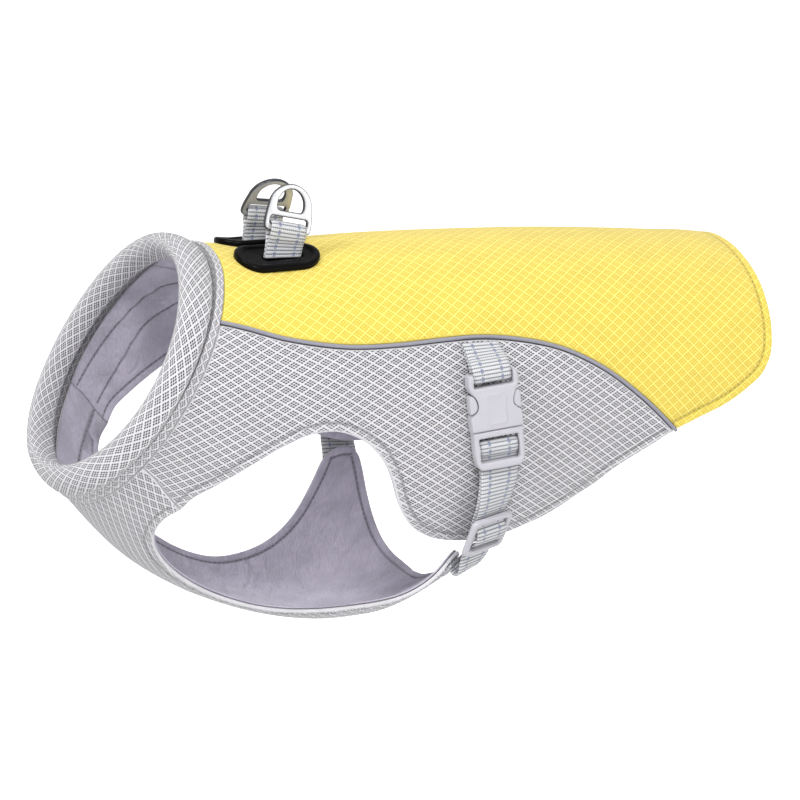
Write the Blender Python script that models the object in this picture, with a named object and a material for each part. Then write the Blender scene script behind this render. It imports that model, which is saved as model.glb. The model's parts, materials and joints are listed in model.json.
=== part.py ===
"""Dog cooling vest, worn shape, modelled from cut sizes.

Metres, +Z up, the wearer's head towards -X and its left side at -Y. The origin lies against the
wearer's back: inner face of the back lining, on the midline between the two lead rings.
"""
from collections import namedtuple
from math import ceil, cos, degrees, exp, hypot, pi, radians, sin

import bpy
from mathutils import Vector
from mathutils.geometry import delaunay_2d_cdt

MM = 0.001

# ---- driving sizes, millimetres -----------------------------------------------------------------
MESH = 2.0  # air mesh of the outer panels
LINING = 1.0  # brushed knit lining
SEAM_GAP = 0.3  # clear gap between neighbouring pieces
CUT_STEP = 7.0  # spacing of the points along a cut edge
CLOTH_STEP = 12.5  # spacing of the points inside a panel
DEGREE_MM = 1.45  # length on the body of one degree round it, used to lay panels flat
PIPING_WIDTH = 3.0
PIPING_RISE = 1.2  # how far the piping stands over the cloth
NECK_EDGE = 2.0  # the panels start this far back from the neck seam
BAND_WIDTH = 4.5  # edge strip between the roll and the panels
BAND_RISE = 0.9
WEBBING = 1.3  # thickness of every strap
STRAP_WIDTH = 20.0
TAPE_WIDTH = 19.2  # webbing of the lead-ring loops
ROLL_CENTRE = Vector((-74.4, 0, -52.8))
ROLL_HEIGHT = 63.9  # half sizes of the neck roll's oval
ROLL_WIDTH = 63.2
ROLL_LEAN = radians(35.6)  # the oval leans back at its top
ROLL_NOD = 7.0  # its top stands this far ahead and its bottom this far back
ROLL_BOW = 3.7  # its sides are bowed back
ROLL_LONG = 10.6  # half sizes of the roll's section, along the neck and across it
ROLL_THICK = 5.9
ROLL_TURN = radians(-10.9)
ROLL_BACK = -3.6  # the roll ends this far ahead of the neck seam
ROLL_STEPS = 66
ROLL_SIDES = 14

# The body under the vest: one section for each distance back from the neck seam. Each section leans
# back at its top and has its own centre, half width, height above and depth below the centre, and
# roundness (2 is an ellipse) of its upper and lower half.
Section = namedtuple("Section", "back x z lean half above below round_top round_bottom")
BODY = (
    Section(0, -66, -57, 30, 67, 71, 71, 2.0, 2.0),
    Section(35, -32, -71, 22, 72, 80, 92, 2.0, 2.0),
    Section(75, 8, -83, 12, 76, 90, 106, 2.1, 2.0),
    Section(120, 54, -90, 5, 78, 97, 111, 2.1, 2.1),
    Section(175, 109, -91, 1, 78, 98, 104, 2.1, 2.1),
    Section(240, 174, -87, 0, 74, 93, 96, 2.1, 2.1),
    Section(300, 234, -85, 0, 70, 88, 90, 2.1, 2.1),
    Section(340, 274, -85, 0, 68, 85, 88, 2.1, 2.1),
)

# Cut lines of the left half: distance back from the neck seam and degrees round from the spine.
PIPING_LINE = (
    (NECK_EDGE, 49), (18.5, 49.5), (42.5, 51.4), (76, 53.2), (109.5, 52.4), (133.5, 51.2),
    (158, 50.8), (181.5, 52.5), (204.5, 56.5), (227.5, 64), (251.5, 75), (275.5, 88),
)
TAIL_LINE = (
    (275.5, 88), (289.5, 85), (307.5, 80.8), (319.5, 76.2), (329, 71.2), (334.5, 64.8), (337, 55),
    (337.5, 43), (336.9, 31), (335.5, 19), (334.5, 7), (334.3, 0),
)
CHEST_SEAM = ((NECK_EDGE, 116), (9.5, 117), (15, 118.5), (26.5, 121.5))
ARMHOLE_LINE = (
    (26.5, 121.5), (28, 114), (32.5, 107.5), (42, 97.2), (54, 88), (64.5, 83), (76.5, 80.8),
    (90.5, 82), (102.5, 86.2), (111.5, 92), (118.5, 99), (126.5, 104.8), (136, 108.5),
    (150.5, 111.5), (167.5, 112.8), (184, 112),
)
SIDE_HEM = ((184, 112), (203, 108.8), (221.5, 103.5), (243.5, 96.2), (260.5, 91.8), (275.5, 88))
ARM_FRONT = (
    (26.5, 121.5), (24.5, 128), (25, 134), (28.5, 141.2), (40, 149.5), (57, 155.2), (66.5, 156.6),
    (78, 156), (92.5, 151.8), (108.5, 145), (122.5, 136.2), (133, 126.5), (139, 119.8), (142, 116.0),
)
ARM_TIP = ((142, 116.0), (151, 115.4), (160, 117.0))
ARM_REAR = (
    (160, 117.0), (162, 125.0), (163, 135), (163.8, 146), (164.8, 156.8), (166.4, 166), (168.2, 174),
    (168.8, 180),
)
# The belly is drawn up by its straps: distance back and rise.
BELLY_LIFT = ((60, 0), (120, 2.0), (150, 6.5), (175, 13.5), (200, 20.5))


# ---- small tools --------------------------------------------------------------------------------
def clear_scene():
    for old in list(bpy.data.objects):
        bpy.data.objects.remove(old, do_unlink=True)


def material(name, colour, roughness, metallic=0.0):
    made = bpy.data.materials.new(name)
    made.use_nodes = True
    shader = made.node_tree.nodes["Principled BSDF"]
    shader.inputs["Base Color"].default_value = (*colour, 1.0)
    shader.inputs["Roughness"].default_value = roughness
    shader.inputs["Metallic"].default_value = metallic
    return made


def add_object(name, points, faces, finish, origin=Vector((0, 0, 0))):
    """One named object from points in millimetres, its faces turned outwards, with its own origin."""
    volume = 0
    for face in faces:
        first = points[face[0]]
        for second, third in zip(face[1:], face[2:]):
            volume += (first - points[0]).dot((points[second] - points[0]).cross(points[third] - points[0]))
    if volume < 0:
        faces = [face[::-1] for face in faces]
    mesh = bpy.data.meshes.new(name)
    mesh.from_pydata([(point - origin) * MM for point in points], [], faces)
    mesh.validate()
    mesh.shade_smooth()
    mesh.set_sharp_from_angle(angle=radians(40))
    mesh.materials.append(finish)
    made = bpy.data.objects.new(name, mesh)
    made.location = origin * MM
    bpy.context.scene.collection.objects.link(made)
    return made


def through(rows, at):
    """Smooth curve through a table whose first column is the position; returns the other columns."""
    last = len(rows) - 2
    low = max(i for i in range(last + 1) if i == 0 or rows[i][0] <= at)
    slopes = []
    for i in (low, low + 1):
        ends = [k for k in (i - 1, i) if 0 <= k <= last]
        steps = {k: rows[k + 1][0] - rows[k][0] for k in ends}
        rates = {k: [(b - a) / steps[k] for a, b in zip(rows[k][1:], rows[k + 1][1:])] for k in ends}
        whole = sum(steps.values())
        weights = {k: (whole - steps[k]) / whole if len(ends) == 2 else 1.0 for k in ends}
        slopes.append([sum(weights[k] * rates[k][c] for k in ends) for c in range(len(rows[0]) - 1)])
    step = rows[low + 1][0] - rows[low][0]
    t = (at - rows[low][0]) / step
    if t < 0 or t > 1:
        edge, slope = (low, slopes[0]) if t < 0 else (low + 1, slopes[1])
        reach = at - rows[edge][0]
        return [value + reach * rate for value, rate in zip(rows[edge][1:], slope)]
    blend = (2 * t**3 - 3 * t**2 + 1, t**3 - 2 * t**2 + t, 3 * t**2 - 2 * t**3, t**3 - t**2)
    return [
        blend[0] * a + blend[1] * step * m + blend[2] * b + blend[3] * step * n
        for a, m, b, n in zip(rows[low][1:], slopes[0], rows[low + 1][1:], slopes[1])
    ]


def ease(value):
    value = min(max(value, 0.0), 1.0)
    return value * value * (3 - 2 * value)


# ---- the two cloth surfaces ---------------------------------------------------------------------
def body_point(back, around, lift=0.0):
    """Outer face of the vest, millimetres; around is in degrees, 0 at the spine, minus to the left."""
    x, z, lean, half, above, below, round_top, round_bottom = through(BODY, back)
    angle = radians(around)
    over = cos(angle) >= 0
    power = 2 / (round_top if over else round_bottom)
    rise = (above if over else lift - below) * abs(cos(angle)) ** power
    side = half * abs(sin(angle)) ** power * (1 if sin(angle) >= 0 else -1)
    return Vector((x + rise * sin(radians(lean)), side, z + rise * cos(radians(lean))))


ARM_CENTRE = Vector((83, -71, -138))
ARM_SWAY = Vector((7, 2, -6))  # the left arm hangs back, in and lower than the right one
ARM_TWIST = 42  # degrees the left arm's tip is turned by its strap
ARM_TILT = -0.1  # rise of the left arm's rear edge at its tip, per millimetre back
ARM_HUMP = 7.0  # the left arm's rear edge is drawn up this much between its root and its tip
ARM_ROOT = -178  # degrees round where the left arm's twist and hump start


def belly_point(back, around):
    """Outer face of the chest and belly panel, which is drawn up behind the chest."""
    point = body_point(back, around, through(BELLY_LIFT, max(back, BELLY_LIFT[0][0]))[0])
    if around > 0 or around < ARM_ROOT:
        return point
    pull = ease((160 + around) / 44) * ease((back - 95) / 35)
    turn = radians(ARM_TWIST) * pull
    offset = point - ARM_CENTRE
    turned = Vector((
        offset.x * cos(turn) - offset.y * sin(turn), offset.x * sin(turn) + offset.y * cos(turn),
        offset.z + offset.x * ARM_TILT * pull,
    ))
    near = ease((150 + around) / 34)
    hump = ARM_HUMP * ease((back - 132) / 34) * sin(pi * min(max((around - ARM_ROOT) / 58, 0), 1))
    return ARM_CENTRE + offset.lerp(turned, near) + ARM_SWAY * pull + Vector((0, 0, hump))


def frame_at(surface, back, around):
    """Point on a surface, its two rates of change and its outward normal."""
    point = surface(back, around)
    by_back = (surface(back + 0.5, around) - surface(back - 0.5, around))
    by_around = (surface(back, around + 0.4) - surface(back, around - 0.4)) / 0.8
    return point, by_back, by_around, by_back.cross(by_around).normalized()


def raised(surface, back, around, height):
    point, _, _, normal = frame_at(surface, back, around)
    return point + normal * height


# ---- cut lines ----------------------------------------------------------------------------------
def sampled(line, step=CUT_STEP):
    """Points at an even step along the smooth curve through a cut line."""
    lengths = [0.0]
    for (a, b), (c, d) in zip(line, line[1:]):
        lengths.append(lengths[-1] + hypot(c - a, (d - b) * DEGREE_MM))
    rows = [(length, *point) for length, point in zip(lengths, line)]
    count = max(1, ceil(lengths[-1] / step))
    return [tuple(through(rows, lengths[-1] * i / count)) for i in range(count + 1)]


def mirrored(line):
    return [(back, -around) for back, around in line]


def moved_aside(surface, line, gap):
    """The cut line moved sideways over the surface by a true distance, to the right of its run."""
    moved = []
    for i, (back, around) in enumerate(line):
        before, after = line[max(i - 1, 0)], line[min(i + 1, len(line) - 1)]
        _, by_back, by_around, normal = frame_at(surface, back, around)
        along = by_back * (after[0] - before[0]) + by_around * (after[1] - before[1])
        aside = along.cross(normal).normalized() * gap
        a, b, c = by_back.dot(by_back), by_back.dot(by_around), by_around.dot(by_around)
        p, q = aside.dot(by_back), aside.dot(by_around)
        share = a * c - b * b
        moved.append((back + (p * c - q * b) / share, around + (q * a - p * b) / share))
    return moved


# ---- shells, sweeps and plates ------------------------------------------------------------------
def inside(point, loops):
    """Whether a flat point lies inside the first loop and outside the others."""
    crossings = 0
    for loop in loops:
        for (a, b), (c, d) in zip(loop, loop[1:] + loop[:1]):
            if (b > point[1]) != (d > point[1]) and point[0] < a + (c - a) * (point[1] - b) / (d - b):
                crossings += 1
    return crossings % 2 == 1


def fill(loops, step=None):
    """Triangles that fill flat loops, with extra points inside at the step; loops come first."""
    points = [point for loop in loops for point in loop]
    edges = []
    start = 0
    for loop in loops:
        edges += [(start + i, start + (i + 1) % len(loop)) for i in range(len(loop))]
        start += len(loop)
    if step:
        points += inner_points(loops, step)
    flat = [Vector(point) for point in points]
    corners, _, faces, _, _, _ = delaunay_2d_cdt(flat, edges, [], 0, 1e-4)
    kept = []
    for face in faces:
        middle = sum((corners[i] for i in face), Vector((0, 0))) / 3
        if inside(middle, loops):
            kept.append(tuple(face))
    return [tuple(corner) for corner in corners], kept


def inner_points(loops, step):
    """A staggered grid of points that keeps clear of the loops."""
    rim = [point for loop in loops for point in loop]
    low = [min(point[axis] for point in rim) for axis in (0, 1)]
    high = [max(point[axis] for point in rim) for axis in (0, 1)]
    row_step = step * 0.87
    found = []
    for row in range(int((high[1] - low[1]) / row_step) + 1):
        for column in range(int((high[0] - low[0]) / step) + 2):
            point = (low[0] + (column - 0.5 * (row % 2)) * step, low[1] + (row + 0.5) * row_step)
            clear = min(hypot(point[0] - x, point[1] - y) for x, y in rim)
            if clear > 0.62 * step and inside(point, loops):
                found.append(point)
    return found


def shell(name, surface, outline, top, bottom, finish, lining_outline=None):
    """Cloth of even thickness between two heights over a surface, cut along an outline.

    lining_outline gives the same rim points where a lining runs on under a seam."""
    flat = [(back, around * DEGREE_MM) for back, around in outline]
    corners, faces = fill([flat], CLOTH_STEP)
    if lining_outline:
        corners[:len(flat)] = [(back, around * DEGREE_MM) for back, around in lining_outline]
    points = []
    for height in (top, bottom):
        points += [raised(surface, back, across / DEGREE_MM, height) for back, across in corners]
    count, rim = len(corners), len(flat)
    closed = faces + [tuple(i + count for i in reversed(face)) for face in faces]
    edges = {(a, b) for face in faces for a, b in zip(face, face[1:] + face[:1])}
    for i in range(rim):
        a, b = i, (i + 1) % rim
        if (a, b) not in edges:
            a, b = b, a
        closed.append((b, a, a + count, b + count))
    return add_object(name, points, closed, finish)


def sweep(name, sections, finish, closed=False, origin=Vector((0, 0, 0))):
    """A solid through sections with equal numbers of points, closed as a ring or capped at its ends."""
    size, count = len(sections[0]), len(sections)
    points = [point for section in sections for point in section]
    faces = []
    for i in range(count if closed else count - 1):
        for j in range(size):
            a, b = i * size + j, i * size + (j + 1) % size
            c, d = (i + 1) % count * size + (j + 1) % size, (i + 1) % count * size + j
            faces.append((a, b, c, d))
    if not closed:
        faces.append(tuple(reversed(range(size))))
        faces.append(tuple(range((count - 1) * size, count * size)))
    return add_object(name, points, faces, finish, origin)


def inset(loop, amount):
    """A flat loop moved to its left by an amount at each corner."""
    moved = []
    for before, here, after in zip(loop[-1:] + loop[:-1], loop, loop[1:] + loop[:1]):
        run = Vector((after[0] - before[0], after[1] - before[1])).normalized()
        moved.append((here[0] - run.y * amount, here[1] + run.x * amount))
    return moved


def plate(name, loops, levels, place, finish, origin=Vector((0, 0, 0))):
    """A flat plate with holes: the outline runs anticlockwise and holes clockwise.

    levels lists (height, inset) from the back face to the front face; place turns (u, v, height)
    into a point."""
    points = []
    faces = []
    for height, amount in levels:
        for loop in loops:
            points += [place(u, v, height) for u, v in inset(loop, amount)]
    size = sum(len(loop) for loop in loops)
    for level in range(len(levels) - 1):
        start = level * size
        for loop in loops:
            for i in range(len(loop)):
                a, b = start + i, start + (i + 1) % len(loop)
                faces.append((a, b, b + size, a + size))
            start += len(loop)
    for level, flip in ((0, True), (len(levels) - 1, False)):
        rims = [inset(loop, levels[level][1]) for loop in loops]
        corners, cap = fill(rims)
        for face in cap:
            a, b, c = (Vector(corners[i]) for i in face)
            if ((b - a).cross(c - a) > 0) == flip:
                face = face[::-1]
            faces.append(tuple(level * size + i for i in face))
    return add_object(name, points, faces, finish, origin)


def rounded(width, height, radius, steps=4, centre=(0, 0), clockwise=False):
    """Corner points of a rectangle with round corners."""
    loop = []
    for quarter, (sx, sy) in enumerate(((1, 1), (-1, 1), (-1, -1), (1, -1))):
        for i in range(steps + 1):
            angle = radians(90 * quarter + 90 * i / steps)
            loop.append((
                centre[0] + sx * (width / 2 - radius) + radius * cos(angle),
                centre[1] + sy * (height / 2 - radius) + radius * sin(angle),
            ))
    return loop[::-1] if clockwise else loop


def stadium(length, width, steps=7):
    """Corner points of a strip with half-round ends."""
    loop = []
    for end in (1, -1):
        for i in range(steps + 1):
            angle = pi * i / steps - pi / 2
            loop.append((end * ((length - width) / 2 + width / 2 * cos(angle)), end * width / 2 * sin(angle)))
    return loop


def ribbon(name, middle, across, width, finish, thickness=WEBBING):
    """Webbing along a list of middle points; across gives its width direction at each point."""
    sections = []
    for i, point in enumerate(middle):
        along = (middle[min(i + 1, len(middle) - 1)] - middle[max(i - 1, 0)]).normalized()
        thick = along.cross(across[i]).normalized() * thickness / 2
        half = across[i] * width / 2
        under, over = point - thick, point + thick
        sections.append([under - half, under + half, over + half, over - half])
    return sweep(name, sections, finish)


# ---- cloth pieces -------------------------------------------------------------------------------
def arc_round(start, end, back=NECK_EDGE, count=8):
    """Points of a cut edge that runs round the body at one distance back."""
    return [(back, start + (end - start) * i / count) for i in range(count + 1)]


def piping_edge(gap):
    """Left cut edge beside the piping; a plus gap lies below it, a minus gap above it."""
    return moved_aside(body_point, mirrored(sampled(PIPING_LINE)), gap)


def chest_edge(gap):
    """Left cut edge beside the chest seam; a plus gap lies on the chest panel's side."""
    return moved_aside(body_point, mirrored(sampled(CHEST_SEAM)), gap)


def back_outline(gap):
    left = piping_edge(-gap)
    tail = mirrored(sampled(TAIL_LINE))[1:]
    right = mirrored(left)[::-1]
    neck = arc_round(right[-1][1], left[0][1], count=14)[1:-1]
    return left + tail + mirrored(tail[:-1])[::-1] + right + neck


def side_outline(gap):
    """Outline of the left side panel."""
    top, front = piping_edge(gap), chest_edge(-SEAM_GAP / 2)
    neck = arc_round(top[0][1], front[0][1], count=13)[:-1]
    armhole = mirrored(sampled(ARMHOLE_LINE))[1:]
    hem = mirrored(sampled(SIDE_HEM))[1:-1]
    return neck + front + armhole + hem + top[:0:-1]


def belly_outline():
    """Outline of the chest and belly panel; its right half counts on round from the spine."""
    seam = chest_edge(SEAM_GAP / 2)
    arm = sampled(ARM_FRONT)[1:-1] + sampled(ARM_TIP, 6) + sampled(ARM_REAR)[1:]
    half = seam + mirrored(arm)
    other = [(back, -360 - around) for back, around in half[:-1]][::-1]
    return half + other + arc_round(other[-1][1], half[0][1], count=17)[1:-1]


def neck_roll(finish):
    """Padded ring at the neck: a flattened section swept round an oval that is bowed at its sides."""
    up = Vector((sin(ROLL_LEAN), 0, cos(ROLL_LEAN)))
    ahead = Vector((-cos(ROLL_LEAN), 0, sin(ROLL_LEAN)))
    seam_lean = radians(BODY[0].lean)
    seam = Vector((BODY[0].x, 0, BODY[0].z))
    behind = Vector((cos(seam_lean), 0, -sin(seam_lean)))
    soft = 3.0  # depth over which the back of the roll is pressed flat
    limit = ROLL_BACK - soft
    sections = []
    for i in range(ROLL_STEPS):
        turn = 2 * pi * i / ROLL_STEPS
        middle = ROLL_CENTRE + up * ROLL_HEIGHT * cos(turn) + Vector((0, ROLL_WIDTH * sin(turn), 0))
        middle += ahead * (ROLL_NOD * cos(turn) - ROLL_BOW * sin(turn) ** 2)
        flat_out = (up * cos(turn) * ROLL_WIDTH + Vector((0, ROLL_HEIGHT * sin(turn), 0))).normalized()
        out = flat_out * cos(ROLL_TURN) - ahead * sin(ROLL_TURN)
        along = ahead * cos(ROLL_TURN) + flat_out * sin(ROLL_TURN)
        section = []
        for k in range(ROLL_SIDES):
            angle = 2 * pi * k / ROLL_SIDES
            point = middle + along * ROLL_LONG * cos(angle) + out * ROLL_THICK * sin(angle)
            depth = (point - seam).dot(behind)
            if depth > limit:
                point += behind * (limit + soft * (1 - exp((limit - depth) / soft)) - depth)
            section.append(point)
        sections.append(section)
    return sweep("neck_roll", sections, finish, closed=True)


def neck_band(finish):
    """Folded edge strip that covers the seam between the roll and the panels."""
    rear = NECK_EDGE - SEAM_GAP
    front = rear - BAND_WIDTH
    under = -MESH - 0.4
    profile = (
        (front, under), (rear, under), (rear, 0.4),
        (rear - 0.6, BAND_RISE), (front + 0.6, BAND_RISE), (front, 0.4),
    )
    sections = []
    for i in range(ROLL_STEPS):
        around = 360 * i / ROLL_STEPS
        sections.append([raised(body_point, back, around, height) for back, height in profile])
    return sweep("neck_seam_band", sections, finish, closed=True)


def piping(name, line, finish):
    """Round-topped cord strip that fills the seam between the back and a side panel."""
    half = PIPING_WIDTH / 2
    profile = (
        (-half, -MESH), (half, -MESH), (half, 0.1),
        (0.8 * half, 0.8), (0, PIPING_RISE), (-0.8 * half, 0.8), (-half, 0.1),
    )
    sections = []
    for i, (back, around) in enumerate(line):
        before, after = line[max(i - 1, 0)], line[min(i + 1, len(line) - 1)]
        point, by_back, by_around, normal = frame_at(body_point, back, around)
        along = by_back * (after[0] - before[0]) + by_around * (after[1] - before[1])
        aside = along.cross(normal).normalized()
        sections.append([point + aside * u + normal * height for u, height in profile])
    return sweep(name, sections, finish)


# ---- lead rings on the back ---------------------------------------------------------------------
EYELET_X = 0.9  # middle of each eyelet plate, seen from above
EYELET_Y = 14.0
EYELET_LONG = 44.6
EYELET_WIDE = 23.2
SLOT_X = 3.4  # middle of the slot that the webbing comes out of
RING_Y = 15.0
RING_AXIS_Z = 17.4
RING_PLATE = 2.4
EYE_RADIUS = 2.95  # middle of the webbing where it turns round the ring's bar
# Each ring's bar lies a little behind its slot; the ring tips back by its rake and to the left by its
# lean, both in degrees.
Ring = namedtuple("Ring", "side bar_x rake lean")
LEFT_RING = Ring(-1, 4.7, 11, -15)
RIGHT_RING = Ring(1, 4.0, 5, 27)


def body_under(x, y):
    """Distance back and degrees round of the point of the back that lies under x and y."""
    back, around = x + 38.0, degrees(y / 72.0)
    for _ in range(4):
        point, by_back, by_around, _ = frame_at(body_point, back, around)
        dx, dy = x - point.x, y - point.y
        share = by_back.x * by_around.y - by_around.x * by_back.y
        back += (dx * by_around.y - dy * by_around.x) / share
        around += (dy * by_back.x - dx * by_back.y) / share
    return back, around


def eyelet(name, side, finish):
    """Oval moulded plate on the back panel: raised rim, sunk floor and a slot for the webbing."""
    def place(u, v, height):
        back, around = body_under(EYELET_X + u, side * EYELET_Y + v)
        return raised(body_point, back, around, height)

    slot = rounded(22, 5.4, 2.2, 3, (SLOT_X - EYELET_X, side * (RING_Y - EYELET_Y)), clockwise=True)
    rings = ((0.3, 0.0), (2.2, 0.0), (3.0, 0.8), (3.0, 2.8), (1.9, 4.0), (1.5, 5.0))
    loops = [stadium(EYELET_LONG - 2 * amount, EYELET_WIDE - 2 * amount) for _, amount in rings]
    points = [place(u, v, height) for (height, _), loop in zip(rings, loops) for u, v in loop]
    size = len(loops[0])
    faces = []
    for start in range(0, size * (len(rings) - 1), size):
        for i in range(size):
            a, b = start + i, start + (i + 1) % size
            faces.append((a, b, b + size, a + size))
    for ring, flip in ((0, True), (len(rings) - 1, False)):
        slot_start = len(points)
        points += [place(u, v, rings[ring][0]) for u, v in slot]
        _, cap = fill([loops[ring], slot])
        for face in cap:
            a, b, c = (Vector((loops[ring] + slot)[i]) for i in face)
            if ((b - a).cross(c - a) > 0) == flip:
                face = face[::-1]
            faces.append(tuple(ring * size + i if i < size else slot_start + i - size for i in face))
    under = len(rings) * size
    over = under + len(slot)
    for i in range(len(slot)):
        j = (i + 1) % len(slot)
        faces.append((under + i, under + j, over + j, over + i))
    return add_object(name, points, faces, finish)


def ring_axes(ring, share=1.0):
    """Middle of a ring's bar, its direction and the ring's upward direction; share eases the rake."""
    rake = radians(ring.rake) * share
    origin = Vector((ring.bar_x, ring.side * RING_Y, RING_AXIS_Z))
    return origin, Vector((cos(rake), 0, -sin(rake))), Vector((sin(rake), 0, cos(rake)))


def ring_loop(name, ring, finish):
    """Webbing that stands out of the eyelet's slot, round the ring's bar and back down."""
    origin, bar, rise = ring_axes(ring)
    foot = raised(body_point, *body_under(SLOT_X, origin.y), 1.3).z
    top = RING_AXIS_Z
    half = [(0.95, foot), (0.95, foot + 4.0), (1.5, foot + 7.5), (2.5, top - 4.5), (EYE_RADIUS, top - 1.5)]
    legs = [[], []]
    turns = []
    for across, z in half:
        share = (z - foot) / (top - foot)
        x = SLOT_X + (ring.bar_x - SLOT_X) * share
        for leg, way in zip(legs, (-1, 1)):
            leg.append(Vector((x, origin.y + way * across, z)))
        turns.append(ring_axes(ring, share)[1])
    over = []
    for i in range(9):
        angle = pi * i / 8
        over.append(origin + (Vector((0, -cos(angle), 0)) + rise * sin(angle)) * EYE_RADIUS)
    middle = legs[0] + over + legs[1][::-1]
    return ribbon(name, middle, turns + [bar] * len(over) + turns[::-1], TAPE_WIDTH, finish)


def lead_ring(name, ring, finish):
    """Stamped D-ring: bar and webbing slot below, D-shaped eye above. Its origin lies on the bar."""
    origin, bar, rise = ring_axes(ring)
    lean = radians(ring.lean)
    outline = [(-11.4, -1.5), (11.4, -1.5), (12.6, -0.4), (12.8, 3.0), (12.5, 8.0)]
    crown = [(11.9 * cos(radians(a)), 10.2 + 12.3 * sin(radians(a))) for a in range(5, 176, 17)]
    outline += crown + [(-12.5, 8.0), (-12.8, 3.0), (-12.6, -0.4)]
    slot = rounded(20.2, 4.3, 1.4, 3, (0, 3.55), clockwise=True)
    eye = [(7.2 * cos(radians(a)), 11.6 + 8.2 * sin(radians(a))) for a in range(0, 181, 18)]
    eye = [(-6.9, 9.4), (-6.2, 8.8), (6.2, 8.8), (6.9, 9.4)] + eye
    half = RING_PLATE / 2
    levels = ((-half, 0.5), (0.5 - half, 0.0), (half - 0.5, 0.0), (half, 0.5))

    def place(u, v, height):
        sideways = Vector((0, -height * cos(lean) - v * sin(lean), 0))
        return origin + bar * u + sideways + rise * (v * cos(lean) - height * sin(lean))

    return plate(name, [outline, slot, eye[::-1]], levels, place, finish, origin)


# ---- belly straps -------------------------------------------------------------------------------
Strap = namedtuple(
    "Strap", "side seam_back buckle_back buckle_around buckle_lean buckle_turn"
    " slider_top slider_foot slider_turn slack sewn_from sewn_to",
)
# Distances from the midline are given as on the left. slack lists places that the webbing passes
# between the slider and the arm, as (across, up, out) from the slider's middle; it is sewn down on the
# arm between two degrees round.
LEFT_STRAP = Strap(
    -1, 156, 162.4, 75.5, 9.0, 7, (99.4, 86.5, -115.0), (98.2, 78.5, -137.2), 19,
    ((-0.6, -15.5, -1.9), (-1.6, -20.5, -1.2), (-2.4, -25.4, -1.8), (-3.0, -27.3, -3.6), (-3.6, -26.8, -6.0)),
    118.6, 116.6,
)
RIGHT_STRAP = Strap(
    1, 154.5, 153.0, 75.5, -4.0, 0, (86.3, 84.0, -108.5), (84.0, 80.5, -130.5), 0,
    ((0.0, -15.2, -3.4), (0.1, -18.2, -5.6)), 117.2, 120.4,
)
BUCKLE_LIFT = 0.5  # clear of the cloth at the buckle's middle
BUCKLE_TOP = 23.8  # upper end of the socket half, above the buckle's middle
BUCKLE_BAR = 22.2  # middle of the bar in the socket half that the upper webbing turns round
BUCKLE_PIN = -13.7  # middle of the pin in the plug half that the lower webbing turns round
ARM_MIDDLE = 151  # distance back of the middle of the arm's tip


def axes_of(down, across_hint, outward):
    """Right-angled width, up and outward directions of a hard piece on a strap."""
    rise = -down.normalized()
    wide = (across_hint - rise * across_hint.dot(rise)).normalized()
    out = wide.cross(rise)
    return wide, rise, out if out.dot(outward) > 0 else -out


def buckle_place(strap):
    """Turns (across, up, height) into a point on the buckle of one side."""
    back, around = strap.buckle_back, strap.side * strap.buckle_around
    point, by_back, by_around, normal = frame_at(body_point, back, around)
    down = by_around.normalized() * strap.side
    ahead = by_back.normalized()
    down = down * cos(radians(strap.buckle_lean)) + ahead * sin(radians(strap.buckle_lean))
    wide, rise, out = axes_of(down, Vector((1, 0, 0)), normal)
    turn = radians(strap.buckle_turn)
    base = point + out * (BUCKLE_LIFT + 14 * sin(turn))
    wide, out = wide * cos(turn) + out * sin(turn), out * cos(turn) - wide * sin(turn)
    return lambda u, v, height: base + wide * u + rise * v + out * height


def slider_place(strap):
    """Turns (across, up, height) into a point on the slider of one side."""
    top, foot = (Vector((p[0], strap.side * p[1], p[2])) for p in (strap.slider_top, strap.slider_foot))
    turn = radians(strap.slider_turn)
    hint = Vector((cos(turn), -strap.side * sin(turn), 0))
    wide, rise, out = axes_of(foot - top, hint, Vector((0, strap.side, 0)))
    middle = (top + foot) / 2
    return lambda u, v, height: middle + wide * u + rise * v + out * height


def box_cutter(name, place, low, high):
    corners = [
        place(u, v, height) for height in (low[2], high[2])
        for u, v in ((low[0], low[1]), (high[0], low[1]), (high[0], high[1]), (low[0], high[1]))
    ]
    faces = [(3, 2, 1, 0), (4, 5, 6, 7), (0, 1, 5, 4), (1, 2, 6, 5), (2, 3, 7, 6), (3, 0, 4, 7)]
    cutter = add_object(name, corners, faces, None)
    cutter.hide_render = True
    cutter.display_type = "WIRE"
    return cutter


def cut(target, cutter):
    made = target.modifiers.new(cutter.name, "BOOLEAN")
    made.operation = "DIFFERENCE"
    made.solver = "EXACT"
    made.object = cutter


def bar_turn(place, across, depth, up, front, sign):
    """Half turn of webbing round a bar at (up, front) of a hard piece; sign +1 passes above it."""
    turn = []
    for i in range(9):
        over, out = sin(pi * i / 8) ** 0.75, cos(pi * i / 8)
        out = abs(out) ** 0.75 * (1 if out > 0 else -1)
        turn.append(place(0, up + sign * across * over, front + depth * out))
    return turn


def smoothed(points, step=3.0):
    """Points at an even step on a smooth curve through a few places."""
    lengths = [0.0]
    for a, b in zip(points, points[1:]):
        lengths.append(lengths[-1] + (b - a).length)
    rows = [(length, *point) for length, point in zip(lengths, points)]
    count = ceil(lengths[-1] / step)
    return [Vector(through(rows, lengths[-1] * i / count)) for i in range(count + 1)]


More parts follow.
